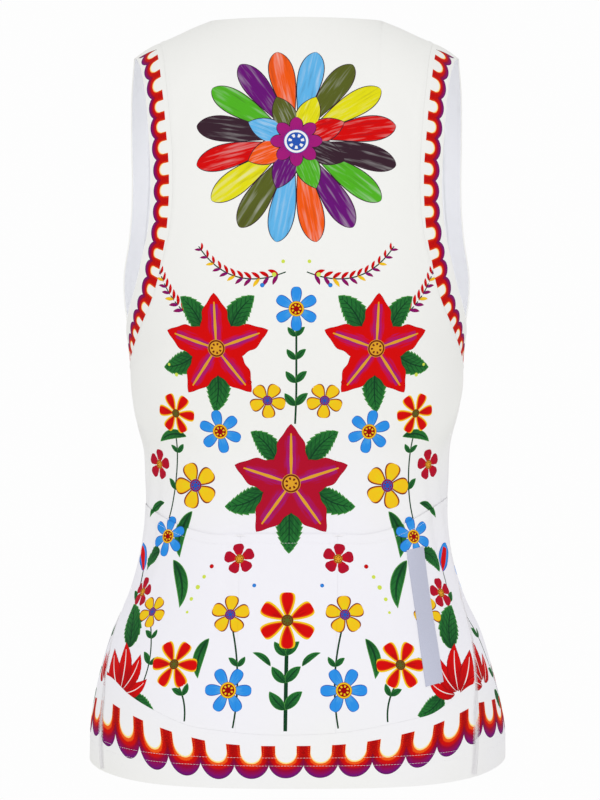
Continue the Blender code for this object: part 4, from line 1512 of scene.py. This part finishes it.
# Sewing: each seam is one mesh of many small stitches.
sewing = {
    "thread": 0.12 * mm,
    "ladderThread": 0.17 * mm,
    "lift": 0.12 * mm,
    "filled": 0.97,           # the share of a row's pitch that its stitch takes
    "coverStitch": 2.4 * mm,
    "hemRows": (17.2 * mm, 23.2 * mm),
    "mouthRow": 7.0 * mm,
    "flatlock": 7.2 * mm,
    "flatlockPitch": 0.95 * mm,
    "flatlockLift": 0.55 * mm,
    "seamRow": 1.6 * mm,
    "tackWidth": 7.5 * mm,
    "tackHeight": 1.6 * mm,
    "tackPitch": 0.5 * mm,
    "tackDrop": 1.5 * mm,
    "tackLift": 0.25 * mm,
    "tackAside": 30 * mm,
    "tackPoints": 9,
    "hemPoints": 361,
    "seamRows": 119,
    "seamStart": 2 * mm,
    "mouthRise": 0.9,         # the share of the pocket's greatest lift that its row of stitches has
}


def addStitch(stitches, start, end, outward, thick=sewing["thread"]):
    # one stitch as a small bead drawn out between two points
    ahead = (end - start) / 2
    side = np.cross(outward, unitOf(ahead))
    above = np.cross(unitOf(ahead), side)
    place = np.eye(4)
    place[:3] = np.stack([ahead, side * thick, above * thick, (start + end) / 2], axis=1)
    bmesh.ops.create_icosphere(stitches, subdivisions=1, radius=1, matrix=Matrix(place.tolist()))


def finishSewing(name, form, material):
    piece = makePiece(name, form, material)
    piece.data.shade_smooth()
    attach(piece, "root")
    return piece


def finishStitches(name, stitches):
    bmesh.ops.recalc_face_normals(stitches, faces=stitches.faces)
    finishSewing(name, stitches, thread)


def evenPath(path, pitch, lift):
    # a path of turns and runs as points an even pitch apart, lifted off the cloth
    marks = marksAlong(pointsOn(path))
    even = np.linspace(0, marks[-1], max(int(marks[-1] / pitch), 2) + 1)
    net = together(*(np.interp(even, marks, path[:, i]) for i in (0, 1)))
    outward = outwardOn(net)
    return pointsOn(net) + outward * lift, outward


def straightRow(stitches, path, lift):
    points, outward = evenPath(path, sewing["coverStitch"], lift)
    for start, end, out in zip(points, points[1:], outward):
        addStitch(stitches, start, start + (end - start) * sewing["filled"], out)


def zigzagRow(stitches, path, pitch, width, lift):
    points, outward = evenPath(path, pitch, lift)
    thick = sewing["ladderThread"]
    for i in range(len(points) - 1):
        ahead = points[i + 1] - points[i]
        side = np.cross(outward[i], unitOf(ahead)) * width / 2
        middle = points[i] + ahead / 2
        addStitch(stitches, points[i] - side, middle + side, outward[i], thick)
        addStitch(stitches, middle + side, points[i + 1] - side, outward[i + 1], thick)


stitches = bmesh.new()
turns = np.linspace(0, 2 * np.pi, sewing["hemPoints"])
for rowHeight in sewing["hemRows"]:
    straightRow(stitches, netAt(turns, hemHeightAt(turns) + rowHeight), sewing["lift"])
finishStitches("hemStitches", stitches)

stitches = bmesh.new()
pocketTop = cut["gap"] + cloth["pocketLift"]
for net in pockets:
    heights = pointsOn(net[-1])[:, 2] - sewing["mouthRow"]
    middleHeights = pointsOn(net[:, net.shape[1] // 2])[:, 2]
    rise = mouthLift(net)[np.argmin(np.abs(middleHeights - heights.mean()))].max()
    row = netAt(net[-1, :, 0], heights)[1:-1]
    straightRow(stitches, row, pocketTop + rise * sewing["mouthRise"] + sewing["lift"])
for side in (-1, 1):
    top = dividerPath(side)[-1]
    half = sewing["tackWidth"] / 2 / backDepthAt(mouthHeightAt(sewing["tackAside"]))
    tackHeight = pointsOn(top)[2] - sewing["tackDrop"]
    tack = netAt(np.linspace(top[0] - half, top[0] + half, sewing["tackPoints"]), tackHeight)
    zigzagRow(stitches, tack, sewing["tackPitch"], sewing["tackHeight"], pocketTop + sewing["tackLift"])
finishStitches("pocketStitches", stitches)

stitches = bmesh.new()
for side in (-1, 1):
    ends = (hemCornerHeight(side) + sewing["seamStart"], underarmHeight, sewing["seamRows"])
    lift = sewing["flatlockLift"]
    zigzagRow(stitches, sideSeamPath(side, *ends), sewing["flatlockPitch"], sewing["flatlock"], lift)
    for shift in (-0.5, 0.5):
        straightRow(stitches, sideSeamPath(side, *ends, shift * sewing["flatlock"]), lift)
finishStitches("sideSeamStitches", stitches)

stitches = bmesh.new()
rightRow = movedAside(panelSide, sewing["seamRow"], holdEnds=False)[2:-2]
for row in (rightRow, mirrored(rightRow)):
    straightRow(stitches, row, sewing["lift"])
finishStitches("armholeStitches", stitches)

# The seam allowances inside, which close each seam from behind.
allowance = {
    "half": 3 * mm,
    "depth": 0.95 * mm,
    "thickness": 0.4 * mm,
    "start": 1 * mm,
    "sideRows": 89,
    "hemPoints": 120,
}


def ribbon(strips, path):
    points, outward = pointsOn(path), outwardOn(path)
    side = unitOf(np.cross(outward, np.gradient(points, axis=0))) * allowance["half"]
    grid = bmesh.ops.create_grid(strips, x_segments=len(path) - 1, y_segments=1, size=1)
    fitGrid(grid["verts"], np.stack([points - side, points + side]) - outward * allowance["depth"])


strips = bmesh.new()
middleSide = (bandSide + panelSide) / 2
for path in (middleSide[1:-1], mirrored(middleSide)[1:-1]):
    ribbon(strips, path)
for side in (-1, 1):
    low = hemCornerHeight(side) + allowance["start"]
    ribbon(strips, sideSeamPath(side, low, underarmHeight, allowance["sideRows"]))
hemTurns = np.linspace(back[0, 0, 0], back[0, -1, 0], allowance["hemPoints"])
ribbon(strips, netAt(hemTurns, hemSeamHeightAt(hemTurns)))
thicken(finishSewing("seamAllowances", strips, plainInside), allowance["thickness"], 0)
print("sleeveless top: the sewing is made")


# Camera, light and floor.
studio = {
    "camera": (0.0028, -2.2, -0.3016),
    "lens": 123.75,
    "sky": 0.80,          # the even light from all round
    "ground": 0.985,      # how bright the empty ground looks
    "front": 14.0,
    "inner": 0.13,        # a small soft light inside the hollow, on the front's inner side
    "floor": -1.3,
}
cameraData = bpy.data.cameras.new("camera")
cameraData.lens = studio["lens"]
cameraData.sensor_width = 36
camera = bpy.data.objects.new("camera", cameraData)
camera.location = studio["camera"]
camera.rotation_euler = (math.radians(90), 0, 0)
bpy.context.collection.objects.link(camera)
bpy.context.scene.camera = camera

world = bpy.data.worlds.new("studio")
bpy.context.scene.world = world
world.use_nodes = True
sky = Looks(world.node_tree)
isSeen = sky.node("ShaderNodeLightPath", output="Is Camera Ray")
background = sky.tree.nodes["Background"]
strength = sky.node("ShaderNodeMix", {0: isSeen, 2: studio["sky"], 3: studio["ground"]})
sky.feed(background.inputs["Strength"], strength)
background.inputs["Color"].default_value = (1, 1, 1, 1)


def softLight(name, place, target, size, power):
    data = bpy.data.lights.new(name, "AREA")
    data.shape = "RECTANGLE"
    data.size, data.size_y = size
    data.energy = power
    lamp = bpy.data.objects.new(name, data)
    lamp.location = place
    aim = np.array(target) - np.array(place)
    yaw, tilt = math.atan2(aim[1], aim[0]), math.atan2(math.hypot(aim[0], aim[1]), -aim[2])
    lamp.rotation_euler = (tilt, 0, yaw - math.pi / 2)
    bpy.context.collection.objects.link(lamp)


target = (0, 0, -0.3)
softLight("frontLeftSoftbox", (-1.6, -2.4, 0.6), target, (1.2, 1.6), studio["front"])
softLight("frontRightSoftbox", (1.9, -2.2, 0.2), target, (1.2, 1.6), studio["front"] * 0.8)
softLight("innerGlow", (0, -0.04, -0.17), (0, 0.1, -0.17), (0.2, 0.22), studio["inner"])

floorLooks = Coat("paleFloor", 0.7)
floorNoise = floorLooks.noise(floorLooks.place(), 3.0)
floorLooks.paint(floorLooks.mix(floorNoise, (0.86, 0.86, 0.86, 1), (0.9, 0.9, 0.9, 1)))
floorForm = bmesh.new()
bmesh.ops.create_circle(floorForm, cap_ends=True, segments=64, radius=3.0)
bmesh.ops.translate(floorForm, verts=floorForm.verts, vec=(0, 0, studio["floor"]))
floor = makePiece("floor", floorForm, floorLooks.material)
bpy.context.scene.view_settings.view_transform = "Standard"
print("sleeveless top: camera, light and floor are set")
